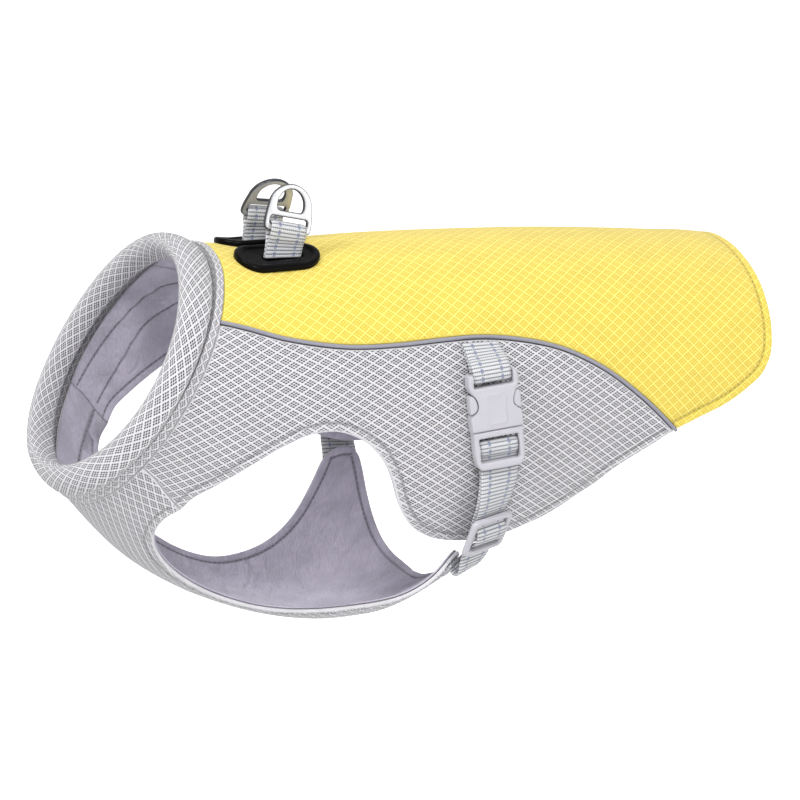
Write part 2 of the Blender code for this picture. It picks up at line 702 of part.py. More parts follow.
def buckle(side_name, strap, finish):
    """Side-release buckle in two parts, each with a bar that the webbing turns round."""
    place = buckle_place(strap)
    right = [
        (13.4, -5.1), (13.6, 0), (13.4, 5.2), (12.7, 9.4), (11.0, 11.6), (10.8, 12.8), (12.4, 15.2),
        (13.2, 17.8), (13.1, 22), (12.2, BUCKLE_TOP),
    ]
    outline = right + [(-u, v) for u, v in reversed(right)]
    slot = rounded(20.8, 3.6, 0.6, 1, (0, BUCKLE_BAR - 3.4), clockwise=True)
    levels = ((0, 0.8), (0.8, 0), (6.4, 0), (7.4, 1.1))
    female = plate(f"buckle_female_{side_name}", [outline, slot], levels, place, finish)
    low, high = BUCKLE_BAR - 2.1, BUCKLE_TOP + 1
    cut(female, box_cutter(f"cut_bar_front_{side_name}", place, (-10.5, low, 4.6), (10.5, high, 9)))
    cut(female, box_cutter(f"cut_bar_back_{side_name}", place, (-10.5, low, -1), (10.5, high, 1.9)))
    left = [(-13.0, -5.4), (-13.2, -14), (-12.8, -21), (-11.6, -24), (-9.5, -25)]
    outline = left + [(-u, v) for u, v in reversed(left)]
    upper = rounded(20.8, 3.4, 0.6, 1, (0, -10.5), clockwise=True)
    lower = rounded(20.8, 6.0, 0.6, 1, (0, -18.2), clockwise=True)
    levels = ((0, 0.8), (0.8, 0), (6.0, 0), (7.0, 1.1))
    male = plate(f"buckle_male_{side_name}", [outline, upper, lower], levels, place, finish)
    cut(male, box_cutter(f"cut_pin_front_{side_name}", place, (-10.5, -15.4, 4.6), (10.5, -12.0, 9)))
    cut(male, box_cutter(f"cut_pin_back_{side_name}", place, (-10.5, -15.4, -1), (10.5, -12.0, 1.9)))
    cut(male, box_cutter(f"cut_rail_{side_name}", place, (-10.5, -26, -1), (10.5, -21.0, 3.5)))


def slider(side_name, strap, finish):
    """Flat frame with a middle bar for shortening the strap."""
    outline = rounded(27, 23, 3.0, 4)
    slots = [rounded(20.8, 6.9, 1.2, 2, (0, v), clockwise=True) for v in (5.15, -5.15)]
    levels = ((-1.5, 0.5), (-1.0, 0), (1.0, 0), (1.5, 0.5))
    plate(f"slider_{side_name}", [outline] + slots, levels, slider_place(strap), finish)


def upper_strap(side_name, strap, finish):
    """Webbing sewn in under the piping, round the buckle's bar and back under itself."""
    place = buckle_place(strap)
    side = strap.side
    seam, half_way = side * 52.9, side * 55.5
    bar_back = strap.buckle_back - BUCKLE_TOP * sin(radians(strap.buckle_lean))
    middle_back = (strap.seam_back + bar_back) / 2
    over = raised(body_point, strap.seam_back, seam, 2.7)
    under = raised(body_point, strap.seam_back, seam, 1.1)
    over_middle = raised(body_point, middle_back, half_way, 3.4)
    under_middle = raised(body_point, middle_back, half_way, 1.4)
    turn = bar_turn(place, 2.8, 2.45, BUCKLE_BAR, 3.25, -1)
    clear = BUCKLE_TOP + 2
    front = smoothed([over, over_middle, place(0, clear, 5.0), turn[0]], 4.0)
    back = smoothed([turn[-1], place(0, clear, 0.6), under_middle, under], 4.0)
    middle = front[:-1] + turn + back[1:]
    at_seam = frame_at(body_point, strap.seam_back, seam)[1].normalized()
    at_buckle = place(1, 0, 0) - place(0, 0, 0)
    across = []
    for point in middle:
        across.append(at_seam.lerp(at_buckle, ease((over - point).length / 9)).normalized())
    ribbon(f"strap_upper_{side_name}", middle, across, STRAP_WIDTH, finish)


def lower_strap(side_name, strap, finish):
    """Webbing from the arm's tip through the slider to the buckle's pin and back behind the slider."""
    place, slide = buckle_place(strap), slider_place(strap)

    def on_arm(degrees_round, height, back=ARM_MIDDLE):
        around = -degrees_round if strap.side < 0 else degrees_round - 360
        return raised(belly_point, back, around, height)

    bar = [(0.0, 2.65), (3.4, 2.3), (5.2, 0.4), (7.1, -1.8), (10.5, -2.55)]  # over the middle bar
    over_bar = [slide(0, v, height) for v, height in reversed(bar)]
    over_bar += [slide(0, -v, height) for v, height in bar[1:]]
    turn = bar_turn(place, 2.7, 2.45, BUCKLE_PIN, 3.25, 1)
    down = smoothed([
        turn[0], place(0, -16.2, 5.2), place(0, -18.6, 3.3), place(0, -21.0, 2.3), place(0, -26, 2.1),
        slide(0, 15, -2.4), *over_bar, slide(0, -12, -2.6),
    ])
    reach = smoothed([down[-1]] + [slide(*spot) for spot in strap.slack] + [
        on_arm(strap.sewn_from, 1.5), on_arm(strap.sewn_to, 1.5),
    ])
    up = smoothed([
        slide(0, 1, -2.7), slide(0, 5, -3.7), slide(0, 9, -4.2), slide(0, 12, -4.2),
        place(0, -26, 0.5), place(0, -20, 0.5), turn[-1],
    ])
    at_buckle = place(1, 0, 0) - place(0, 0, 0)
    at_slider = slide(1, 0, 0) - slide(0, 0, 0)
    at_arm = (on_arm(117, 0, 160) - on_arm(116, 0, 142)).normalized()
    low, high = slide(0, 12, 0), place(0, -24, 0)
    across = []
    for i in reversed(range(1, len(reach))):
        across.append(at_slider.lerp(at_arm, ease(i / (len(reach) - 1))).normalized())
    upper = down[::-1] + turn[1:-1] + up[::-1]
    for point in upper:
        share = ease((point - low).dot(high - low) / (high - low).length_squared)
        across.append(at_slider.lerp(at_buckle, share).normalized())
    ribbon(f"strap_lower_{side_name}", reach[:0:-1] + upper, across, STRAP_WIDTH, finish)


# ---- the whole vest -----------------------------------------------------------------------------
def build():
    clear_scene()
    yellow = material("yellow air mesh", (0.85, 0.66, 0.06), 0.85)
    grey = material("light grey air mesh", (0.47, 0.46, 0.49), 0.85)
    knit = material("grey brushed knit", (0.36, 0.34, 0.42), 0.95)
    cord = material("grey piping", (0.2, 0.2, 0.23), 0.8)
    black = material("black moulded plastic", (0.01, 0.01, 0.012), 0.3)
    webbing = material("reflective grey webbing", (0.45, 0.46, 0.47), 0.6)
    steel = material("chromed steel", (0.7, 0.7, 0.72), 0.15, 1.0)
    plastic = material("light grey plastic", (0.45, 0.45, 0.48), 0.4)

    bare = PIPING_WIDTH / 2 + SEAM_GAP
    inner = -MESH - SEAM_GAP
    closed_seam = SEAM_GAP / 2
    shell("back_panel", body_point, back_outline(bare), 0, -MESH, yellow)
    under = back_outline(closed_seam)
    shell("lining_back", body_point, back_outline(bare), inner, inner - LINING, knit, under)
    for side_name, strap, ring in (("left", LEFT_STRAP, LEFT_RING), ("right", RIGHT_STRAP, RIGHT_RING)):
        side = strap.side
        turn_over = (lambda line: line) if side < 0 else mirrored
        outer, under = turn_over(side_outline(bare)), turn_over(side_outline(closed_seam))
        shell(f"side_panel_{side_name}", body_point, outer, 0, -MESH, grey)
        shell(f"lining_side_{side_name}", body_point, outer, inner, inner - LINING, knit, under)
        piping(f"piping_{side_name}", turn_over(piping_edge(0)), cord)
        eyelet(f"eyelet_{side_name}", side, black)
        ring_loop(f"ring_loop_{side_name}", ring, webbing)
        lead_ring(f"lead_ring_{side_name}", ring, steel)
        buckle(side_name, strap, plastic)
        slider(side_name, strap, plastic)
        upper_strap(side_name, strap, webbing)
        lower_strap(side_name, strap, webbing)
    shell("belly_panel", belly_point, belly_outline(), 0, -MESH, grey)
    shell("lining_belly", belly_point, belly_outline(), inner, inner - LINING, knit)
    neck_roll(grey)
    neck_band(grey)


build()
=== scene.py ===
import json
from math import cos, pi, radians, sin

import bpy
import numpy as np
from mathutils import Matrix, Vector
from mathutils.geometry import delaunay_2d_cdt

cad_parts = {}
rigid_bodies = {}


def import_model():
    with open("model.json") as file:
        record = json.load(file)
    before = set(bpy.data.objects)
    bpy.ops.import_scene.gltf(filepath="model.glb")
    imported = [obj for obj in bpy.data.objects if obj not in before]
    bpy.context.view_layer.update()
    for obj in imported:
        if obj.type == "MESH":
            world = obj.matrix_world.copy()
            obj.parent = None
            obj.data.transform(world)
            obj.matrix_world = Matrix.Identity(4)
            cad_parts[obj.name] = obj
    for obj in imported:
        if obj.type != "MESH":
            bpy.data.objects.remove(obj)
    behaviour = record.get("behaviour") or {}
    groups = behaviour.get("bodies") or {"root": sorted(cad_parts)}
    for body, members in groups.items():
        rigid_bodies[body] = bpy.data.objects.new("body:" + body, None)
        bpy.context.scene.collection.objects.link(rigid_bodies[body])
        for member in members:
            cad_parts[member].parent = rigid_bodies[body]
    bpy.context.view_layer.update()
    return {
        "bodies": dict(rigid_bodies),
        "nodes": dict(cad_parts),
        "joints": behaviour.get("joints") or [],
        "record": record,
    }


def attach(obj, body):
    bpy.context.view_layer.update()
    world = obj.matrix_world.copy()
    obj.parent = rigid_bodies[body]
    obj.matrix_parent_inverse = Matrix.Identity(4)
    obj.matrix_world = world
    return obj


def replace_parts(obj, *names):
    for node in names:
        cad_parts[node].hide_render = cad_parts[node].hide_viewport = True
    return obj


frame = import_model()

# ---- Camera, light and floor --------------------------------------------------------------------
# Studio shot of the vest from its left front, a little from above. Large soft lamps, and white
# paper far below it, overexposed with the backdrop so that both are plain white in the picture.
scene = bpy.context.scene
scene.view_settings.view_transform = "Standard"


def linear(code):
    """An sRGB hex colour as linear RGBA."""
    parts = [int(code[i:i + 2], 16) / 255 for i in (0, 2, 4)]
    return (*[c / 12.92 if c <= 0.04045 else ((c + 0.055) / 1.055) ** 2.4 for c in parts], 1.0)


def node(tree, kind, links=(), **settings):
    """Adds one node with its settings, and its inputs as values or as other nodes' outputs."""
    made = tree.nodes.new(kind)
    for name, value in settings.items():
        setattr(made, name, value)
    for socket, value in dict(links).items():
        if isinstance(value, bpy.types.NodeSocket):
            tree.links.new(value, made.inputs[socket])
        else:
            made.inputs[socket].default_value = value
    return made


def finish(name, roughness, metallic=0.0, **sockets):
    """A material with a bare Principled shader; returns the material, its tree and the shader."""
    made = bpy.data.materials.new(name)
    made.use_nodes = True
    shader = made.node_tree.nodes["Principled BSDF"]
    shader.inputs["Roughness"].default_value = roughness
    shader.inputs["Metallic"].default_value = metallic
    for socket, value in sockets.items():
        shader.inputs[socket.replace("_", " ")].default_value = value
    return made, made.node_tree, shader


world = bpy.data.worlds.new("studio")
scene.world = world
world.use_nodes = True
lighting = world.node_tree.nodes["Background"]
lighting.inputs["Color"].default_value = linear("FFFFFF")
lighting.inputs["Strength"].default_value = 0.55
backdrop = node(world.node_tree, "ShaderNodeBackground", {"Color": linear("FFFFFF")})
seen = node(world.node_tree, "ShaderNodeLightPath").outputs["Is Camera Ray"]
sky = {0: seen, 1: lighting.outputs[0], 2: backdrop.outputs[0]}
sky = node(world.node_tree, "ShaderNodeMixShader", sky).outputs[0]
world.node_tree.links.new(sky, world.node_tree.nodes["World Output"].inputs[0])

camera = bpy.data.objects.new("camera", bpy.data.cameras.new("camera"))
camera.data.lens = 111.15
camera.location = (-0.454, -1.101, 0.351)
look = Vector((0.083, 0.0, -0.083)) - camera.location
camera.rotation_euler = look.to_track_quat("-Z", "Y").to_euler()
camera.rotation_euler.rotate_axis("Z", radians(5.5))
scene.collection.objects.link(camera)
scene.camera = camera
LIT_PLACE = Vector((0.08, 0, -0.08))  # where the lamps point, near the middle of the vest


def lamp(name, place, size, power):
    made = bpy.data.objects.new(name, bpy.data.lights.new(name, "AREA"))
    made.data.shape = "DISK"
    made.data.size = size
    made.data.energy = power
    made.location = place
    made.rotation_euler = (LIT_PLACE - made.location).to_track_quat("-Z", "Y").to_euler()
    scene.collection.objects.link(made)


lamp("key_lamp", (-0.4, -1.2, 1.4), 0.45, 18)
lamp("front_lamp", (-1.2, -0.3, 1.2), 0.5, 15)
lamp("fill_lamp", (1.2, -1.5, 0.5), 1.0, 7)
lamp("top_lamp", (0.3, 0.7, 1.7), 0.8, 3)

FLOOR_HALF, FLOOR_Z = 6.0, -0.34
corners = [(x * FLOOR_HALF, y * FLOOR_HALF, FLOOR_Z) for x, y in ((-1, -1), (1, -1), (1, 1), (-1, 1))]
floor_mesh = bpy.data.meshes.new("floor")
floor_mesh.from_pydata(corners, [], [(0, 1, 2, 3)])
floor = bpy.data.objects.new("floor", floor_mesh)
scene.collection.objects.link(floor)

paper, tree, shader = finish("matt_white_paper", 0.95)
shader.inputs["Base Color"].default_value = linear("FAFAFA")
shader.inputs["Emission Color"].default_value = linear("FFFFFF")
seen = node(tree, "ShaderNodeLightPath").outputs["Is Camera Ray"]
glow = node(tree, "ShaderNodeMath", {0: seen, 1: 0.6}, operation="MULTIPLY").outputs[0]
tree.links.new(glow, shader.inputs["Emission Strength"])
floor_mesh.materials.append(paper)

# ---- Back panel ---------------------------------------------------------------------------------
# Yellow polyester air mesh over the back, cut in one piece: a knitted face with raised diamond
# lines and small holes. Turned edge with one row of topstitching round the tail.
# Sizes are millimetres: distance back from the neck seam, and degrees round from the spine.
FORM = np.array((
    # back, x, z, lean, half width, above, below, roundness over and under
    (0, -66, -57, 30, 67, 71, 71, 2.0, 2.0),
    (35, -32, -71, 22, 72, 80, 92, 2.0, 2.0),
    (75, 8, -83, 12, 76, 90, 106, 2.1, 2.0),
    (120, 54, -90, 5, 78, 97, 111, 2.1, 2.1),
    (175, 109, -91, 1, 78, 98, 104, 2.1, 2.1),
    (240, 174, -87, 0, 74, 93, 96, 2.1, 2.1),
    (300, 234, -85, 0, 70, 88, 90, 2.1, 2.1),
    (340, 274, -85, 0, 68, 85, 88, 2.1, 2.1),
))
NECK_EDGE = 2.0
MESH, LINING, GAP = 2.0, 1.0, 0.3
PIPING_LINE = (
    (NECK_EDGE, 49), (18.5, 49.5), (42.5, 51.4), (76, 53.2), (109.5, 52.4), (133.5, 51.2),
    (158, 50.8), (181.5, 52.5), (204.5, 56.5), (227.5, 64), (251.5, 75), (275.5, 88),
)
TAIL_LINE = (
    (275.5, 88), (289.5, 85), (307.5, 80.8), (319.5, 76.2), (329, 71.2), (334.5, 64.8), (337, 55),
    (337.5, 43), (336.9, 31), (335.5, 19), (334.5, 7), (334.3, 0),
)


def curve(rows, at):
    """Smooth curve through a table whose first column is the position, for a whole list at once."""
    rows = np.asarray(rows, float)
    at = np.atleast_1d(np.asarray(at, float))
    x, y = rows[:, 0], rows[:, 1:]
    step = np.diff(x)
    rate = np.diff(y, axis=0) / step[:, None]
    middle = (rate[:-1] * step[1:, None] + rate[1:] * step[:-1, None]) / (step[1:] + step[:-1])[:, None]
    slope = np.vstack([rate[:1], middle, rate[-1:]])
    i = np.clip(np.searchsorted(x, at, side="right") - 1, 0, len(x) - 2)
    t = np.clip((at - x[i]) / step[i], 0, 1)[:, None]
    long = step[i][:, None]
    value = (2 * t**3 - 3 * t**2 + 1) * y[i] + (t**3 - 2 * t**2 + t) * long * slope[i]
    value += (3 * t**2 - 2 * t**3) * y[i + 1] + (t**3 - t**2) * long * slope[i + 1]
    beyond = (at - x[i])[:, None] - t * long
    return value + beyond * np.where(beyond < 0, slope[i], slope[i + 1])


def ease(value):
    value = np.clip(value, 0.0, 1.0)
    return value * value * (3 - 2 * value)


def body(back, around, lift=0.0):
    """Outer face of the worn vest."""
    x, z, lean, half, above, below, over_power, under_power = curve(FORM, back).T
    angle, lean = np.radians(around), np.radians(lean)
    over = np.cos(angle) >= 0
    power = 2 / np.where(over, over_power, under_power)
    rise = np.where(over, above, lift - below) * np.abs(np.cos(angle)) ** power
    side = half * np.abs(np.sin(angle)) ** power * np.sign(np.sin(angle))
    return np.stack([x + rise * np.sin(lean), side, z + rise * np.cos(lean)], 1)


def slopes(surface, back, around):
    """Points on a surface, their rates of change along the back and round it, and outward normals."""
    back, around = (np.atleast_1d(np.asarray(value, float)) for value in (back, around))
    along = surface(back + 0.5, around) - surface(back - 0.5, around)
    across = (surface(back, around + 0.4) - surface(back, around - 0.4)) / 0.8
    normal = np.cross(along, across)
    return surface(back, around), along, across, normal / np.linalg.norm(normal, axis=1)[:, None]


def raised(surface, back, around, height):
    point, _, _, normal = slopes(surface, back, around)
    return point + normal * np.atleast_1d(height)[:, None]


# Lengths over the body, from which the flat cut is worked out: along the back from 120 mm behind
# the neck seam, and round it from the spine.
GRID_STEP = 4.0
GRID_BACK, GRID_ROUND = np.arange(-8, 349, GRID_STEP), np.arange(-260, 141, GRID_STEP)
grid = np.array([body(GRID_BACK, np.full(len(GRID_BACK), turn)) for turn in GRID_ROUND])
step_back = np.linalg.norm(np.diff(grid, axis=1), axis=2)
step_round = np.linalg.norm(np.diff(grid, axis=0), axis=2)
LENGTH_BACK = np.hstack([np.zeros((len(GRID_ROUND), 1)), np.cumsum(step_back, axis=1)])
LENGTH_BACK -= LENGTH_BACK[:, GRID_BACK == 120]
LENGTH_ROUND = np.vstack([np.zeros((1, len(GRID_BACK))), np.cumsum(step_round, axis=0)])
LENGTH_ROUND -= LENGTH_ROUND[GRID_ROUND == 0]


def flat_of(back, around):
    """Where points of the cloth lie on the flat cut, in millimetres along the back and across."""
    i = np.clip((np.asarray(back) - GRID_BACK[0]) / GRID_STEP, 0, len(GRID_BACK) - 1.001)
    j = np.clip((np.asarray(around) - GRID_ROUND[0]) / GRID_STEP, 0, len(GRID_ROUND) - 1.001)
    a, b = i.astype(int), j.astype(int)
    s, t = i - a, j - b
    flat = []
    for table in (LENGTH_BACK, LENGTH_ROUND):
        here = (1 - s) * table[b, a] + s * table[b, a + 1]
        beyond = (1 - s) * table[b + 1, a] + s * table[b + 1, a + 1]
        flat.append((1 - t) * here + t * beyond)
    return np.stack(flat, 1)


def sampled(line, step=2.6, degree=1.45):
    """Points at an even step along the smooth curve through a cut line."""
    line = np.asarray(line, float)
    lengths = np.concatenate([[0], np.cumsum(np.hypot(np.diff(line[:, 0]), np.diff(line[:, 1]) * degree))])
    count = max(1, int(np.ceil(lengths[-1] / step)))
    return curve(np.column_stack([lengths, line]), np.linspace(0, lengths[-1], count + 1))


def mirrored(line):
    return np.asarray(line) * (1, -1)


def moved_aside(surface, line, gap):
    """A cut line moved over the surface by a true distance, to the right of its run."""
    run = np.gradient(np.asarray(line, float), axis=0)
    _, by_back, by_round, normal = slopes(surface, line[:, 0], line[:, 1])
    aside = np.cross(by_back * run[:, :1] + by_round * run[:, 1:], normal)
    aside *= np.atleast_1d(gap)[:, None] / np.linalg.norm(aside, axis=1)[:, None]
    a, b, c = (by_back * by_back).sum(1), (by_back * by_round).sum(1), (by_round * by_round).sum(1)
    p, q = (aside * by_back).sum(1), (aside * by_round).sum(1)
    share = a * c - b * b
    return np.column_stack([line[:, 0] + (p * c - q * b) / share, line[:, 1] + (q * a - p * b) / share])


def arc_round(start, end, back=NECK_EDGE, step=1.8):
    count = round(abs(end - start) / step)
    return np.column_stack([np.full(count + 1, back), np.linspace(start, end, count + 1)])


def piping_edge(gap):
    return moved_aside(body, mirrored(sampled(PIPING_LINE)), gap)


def back_outline(gap):
    left = piping_edge(-gap)
    tail = mirrored(sampled(TAIL_LINE))[1:]
    right = mirrored(left)[::-1]
    neck = np.column_stack([np.full(53, NECK_EDGE), np.linspace(right[-1][1], left[0][1], 55)[1:-1]])
    return np.vstack([left, tail, mirrored(tail[:-1])[::-1], right, neck])


def within(points, loop):
    """Which flat points lie inside a loop."""
    a, b = loop, np.roll(loop, -1, axis=0)
    x, y = points[:, :1], points[:, 1:]
    with np.errstate(divide="ignore", invalid="ignore"):
        cross = a[:, 0] + (b[:, 0] - a[:, 0]) * (y - a[:, 1]) / (b[:, 1] - a[:, 1])
    return (((a[:, 1] > y) != (b[:, 1] > y)) & (x < cross)).sum(1) % 2 == 1


def rim_distance(points, loop, closed=True):
    """Distance of flat points from the nearest piece of a loop or an open line."""
    a, run = loop, np.roll(loop, -1, axis=0) - loop
    if not closed:
        a, run = a[:-1], run[:-1]
    size = np.maximum((run * run).sum(1), 1e-9)
    best = np.full(len(points), 1e9)
    for start, along, square in zip(a, run, size):
        t = np.clip(((points - start) @ along) / square, 0, 1)
        best = np.minimum(best, np.hypot(*(points - start - t[:, None] * along).T))
    return best


def add_mesh(name, points, faces, coat, uv=None, corner_uv=None, marks=(), body_name="vest"):
    """One piece from points in millimetres.

    uv is the flat place of each point in millimetres, corner_uv that of each corner of the faces
    in metres, and marks are numbers kept per point for the materials.
    """
    mesh = bpy.data.meshes.new(name)
    mesh.from_pydata((np.asarray(points) * 0.001).tolist(), [], [tuple(map(int, face)) for face in faces])
    mesh.validate()
    if uv is not None:
        corner = np.empty(len(mesh.loops), np.int32)
        mesh.loops.foreach_get("vertex_index", corner)
        corner_uv = np.asarray(uv)[corner] * 0.001 + 0.5
    if corner_uv is not None:
        mesh.uv_layers.new(name="cut").data.foreach_set("uv", np.asarray(corner_uv).ravel())
    for mark, values in dict(marks).items():
        made = mesh.attributes.new(mark, "FLOAT", "POINT")
        made.data.foreach_set("value", np.asarray(values, np.float32))
    mesh.shade_smooth()
    mesh.materials.append(coat)
    made = bpy.data.objects.new(name, mesh)
    scene.collection.objects.link(made)
    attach(made, body_name)
    return made


def creased(flat, creases):
    """Height of soft folds: rows of place, direction, half length, half width, height."""
    height = np.zeros(len(flat))
    for x, y, direction, half_long, half_wide, rise in creases:
        along = Vector((cos(radians(direction)), sin(radians(direction))))
        u = (flat[:, 0] - x) * along.x + (flat[:, 1] - y) * along.y
        v = -(flat[:, 0] - x) * along.y + (flat[:, 1] - y) * along.x
        v = v + 0.12 * half_wide * np.sin(u / half_long * 3.1 + x)
        height += rise * np.exp(-(v / half_wide) ** 2) * np.exp(-(u / half_long) ** 4)
    return height


ROUND_MM = np.array((1, 1.45))  # rough length of a step along the back and of a degree round it


def sewn_along(surface, outline, line, gap):
    """A line of sewing at an even distance inside a cut edge."""
    runs = [moved_aside(surface, line, way * gap) for way in (1, -1)]
    run = max(runs, key=lambda run: within(run * ROUND_MM, outline * ROUND_MM).sum())
    far = rim_distance(flat_of(*run.T), flat_of(*line.T), closed=False)
    return run[(far > 0.75 * gap) & within(run * ROUND_MM, outline * ROUND_MM)]


def cloth_net(surface, outline, sewn):
    """Triangles of a cut piece: close rows by its edge and its sewing, and an even net between."""
    step, rim = 3.6, outline * ROUND_MM
    rim_flat = flat_of(*outline.T)
    low, high = rim.min(0), rim.max(0)
    x, y = np.meshgrid(np.arange(low[0], high[0], step), np.arange(low[1], high[1], step * 0.87))
    x[::2] += step / 2
    loose = np.column_stack([x.ravel(), y.ravel()])
    loose = loose[within(loose, rim)]
    loose = loose[rim_distance(flat_of(*(loose / ROUND_MM).T), rim_flat) > 4.4]
    flat = [rim]
    for gap in (0.5, 1.4, 2.8):
        rows = [moved_aside(surface, outline, way * gap) * ROUND_MM for way in (1, -1)]
        row = max(rows, key=lambda row: within(row, rim).sum())
        far = rim_distance(flat_of(*(row / ROUND_MM).T), rim_flat)
        flat.append(row[(far > 0.8 * gap) & within(row, rim)])
    for line in sewn:
        clear = rim_distance(flat_of(*(loose / ROUND_MM).T), flat_of(*line.T), closed=False)
        loose = loose[clear > 2.4]
        for gap in (-0.9, 0, 0.9):
            row = moved_aside(surface, line, gap) * ROUND_MM
            flat.append(row[within(row, rim) & (rim_distance(row, rim) > 0.6)])
    flat = [Vector(point) for point in np.vstack(flat + [loose]).tolist()]
    edges = [(i, (i + 1) % len(rim)) for i in range(len(rim))]
    corners, _, faces, _, _, _ = delaunay_2d_cdt(flat, edges, [], 0, 1e-4)
    corners, faces = np.array([tuple(p) for p in corners]), np.array([tuple(f) for f in faces])
    return corners / ROUND_MM, faces[within(corners[faces].mean(1), rim)], edges


HEM, TAIL_HEM = 4.6, 5.2  # from a turned edge to the sewing of its hem
GROOVE, GROOVE_HALF = 0.5, 0.9  # the cloth is drawn in along its sewing, this deep and wide
THREAD_DEPTH = 0.35
stitched = {}  # lines of sewing on the cloth, by colour of the thread


def cloth(name, surface, outline, top, bottom, coat, folds, sewn, hem=HEM, under=None,
          thread="grey", wrinkles=(), middle=0):
    """A closed cloth shell over a surface, with rounded edges, soft folds and sunk sewing.

    top and bottom are its heights over the surface. under is the rim of a lining where it runs on
    behind the piping, and wrinkles are its own. The pattern of the cloth is laid out from the
    degree round in middle.
    """
    places, faces, edges = cloth_net(surface, outline, sewn)
    size, count = len(places), len(outline)
    back, around = places.T.copy()
    place = flat_of(back, around)
    edge = rim_distance(place, flat_of(*outline.T))
    edge[:count] = 0
    lines = [flat_of(*line.T) for line in sewn]
    far = np.min([rim_distance(place, line, closed=False) for line in lines], axis=0)
    groove = GROOVE * np.exp(-(far / GROOVE_HALF) ** 2)
    if under is not None:
        back[:count], around[:count] = under.T
    roundness = 1 - np.sqrt(1 - (1 - np.clip(edge / 1.4, 0, 1)) ** 2)
    relief = creased(place, folds)
    if wrinkles:
        wrinkle = np.abs(creased(place, wrinkles)) * ease(edge / 9)
        heights = top - 0.3 * roundness + relief, bottom + 0.3 * roundness + relief + groove - wrinkle
    else:
        heights = top - 0.8 * roundness + relief - groove, bottom + 0.4 * roundness + relief
    points = np.vstack([raised(surface, back, around, height) for height in heights])

    faces = [tuple(face) for face in faces.tolist()]
    used = {(a, b) for face in faces for a, b in zip(face, face[1:] + face[:1])}
    whole = faces + [tuple(i + size for i in reversed(face)) for face in faces]
    for a, b in edges:
        a, b = (b, a) if (a, b) in used else (a, b)
        whole.append((a, b, b + size, a + size))
    first, second, third = (points[i] for i in faces[0])
    if np.cross(second - first, third - first) @ (first - points[faces[0][0] + size]) < 0:
        whole = [face[::-1] for face in whole]

    for line, flat_line in zip(sewn, lines):
        high = top - THREAD_DEPTH if not wrinkles else bottom + THREAD_DEPTH
        high = high + creased(flat_line, folds)
        stitched.setdefault(thread, []).append(raised(surface, line[:, 0], line[:, 1], high))
    in_hem = np.clip(1.6 - np.abs(edge + far - hem) / 0.8, 0, 1)
    marks = {"rim": np.tile(edge, 2), "sewn": np.tile(far, 2), "hem": np.tile(in_hem, 2)}
    laid = place - (0, 1) * flat_of(places[:, 0], np.full(size, middle))
    if middle:
        laid = laid - (1, 0) * flat_of(np.zeros(size), places[:, 1])
    made = add_mesh(name, points, whole, coat, np.vstack([laid, laid]), marks=marks)
    length, width = np.ptp(laid[:count], axis=0) / 1000
    a, b = laid[:count] / 1000, np.roll(laid[:count], -1, axis=0) / 1000
    return made


def arithmetic(tree):
    """Short ways to add a Math node and a smooth step to a material."""
    def math(kind, *values):
        return node(tree, "ShaderNodeMath", dict(enumerate(values)), operation=kind).outputs[0]

    def between(value, low, high, start=0.0, end=1.0):
        ends = {0: value, 1: low, 2: high, 3: start, 4: end}
        return node(tree, "ShaderNodeMapRange", ends, interpolation_type="SMOOTHSTEP").outputs[0]

    return math, between


def mark_of(tree, name):
    """A number kept per point: millimetres from the rim or the sewing, or a share of hem or of an edge
    coloured with painted dark reflection.
    """
    return node(tree, "ShaderNodeAttribute", attribute_name=name).outputs["Fac"]


def mixed(tree, share, first, second):
    """A colour between two others, each of them an sRGB code or a socket."""
    first, second = (linear(end) if isinstance(end, str) else end for end in (first, second))
    return node(tree, "ShaderNodeMix", {0: share, 6: first, 7: second}, data_type="RGBA").outputs[2]


def coloured(tree, shader, colour, tone):
    """Gives the shader a colour, lighter or darker by a tone about one."""
    colour = linear(colour) if isinstance(colour, str) else colour
    made = node(tree, "ShaderNodeHueSaturation", {"Value": tone, "Color": colour})
    tree.links.new(made.outputs[0], shader.inputs["Base Color"])


def bumped(tree, shader, strength, distance, height, **more):
    """Gives the shader a bump, with the distance in metres that a height of one stands for."""
    given = {"Strength": strength, "Distance": distance, "Height": height, **more}
    tree.links.new(node(tree, "ShaderNodeBump", given).outputs[0], shader.inputs["Normal"])


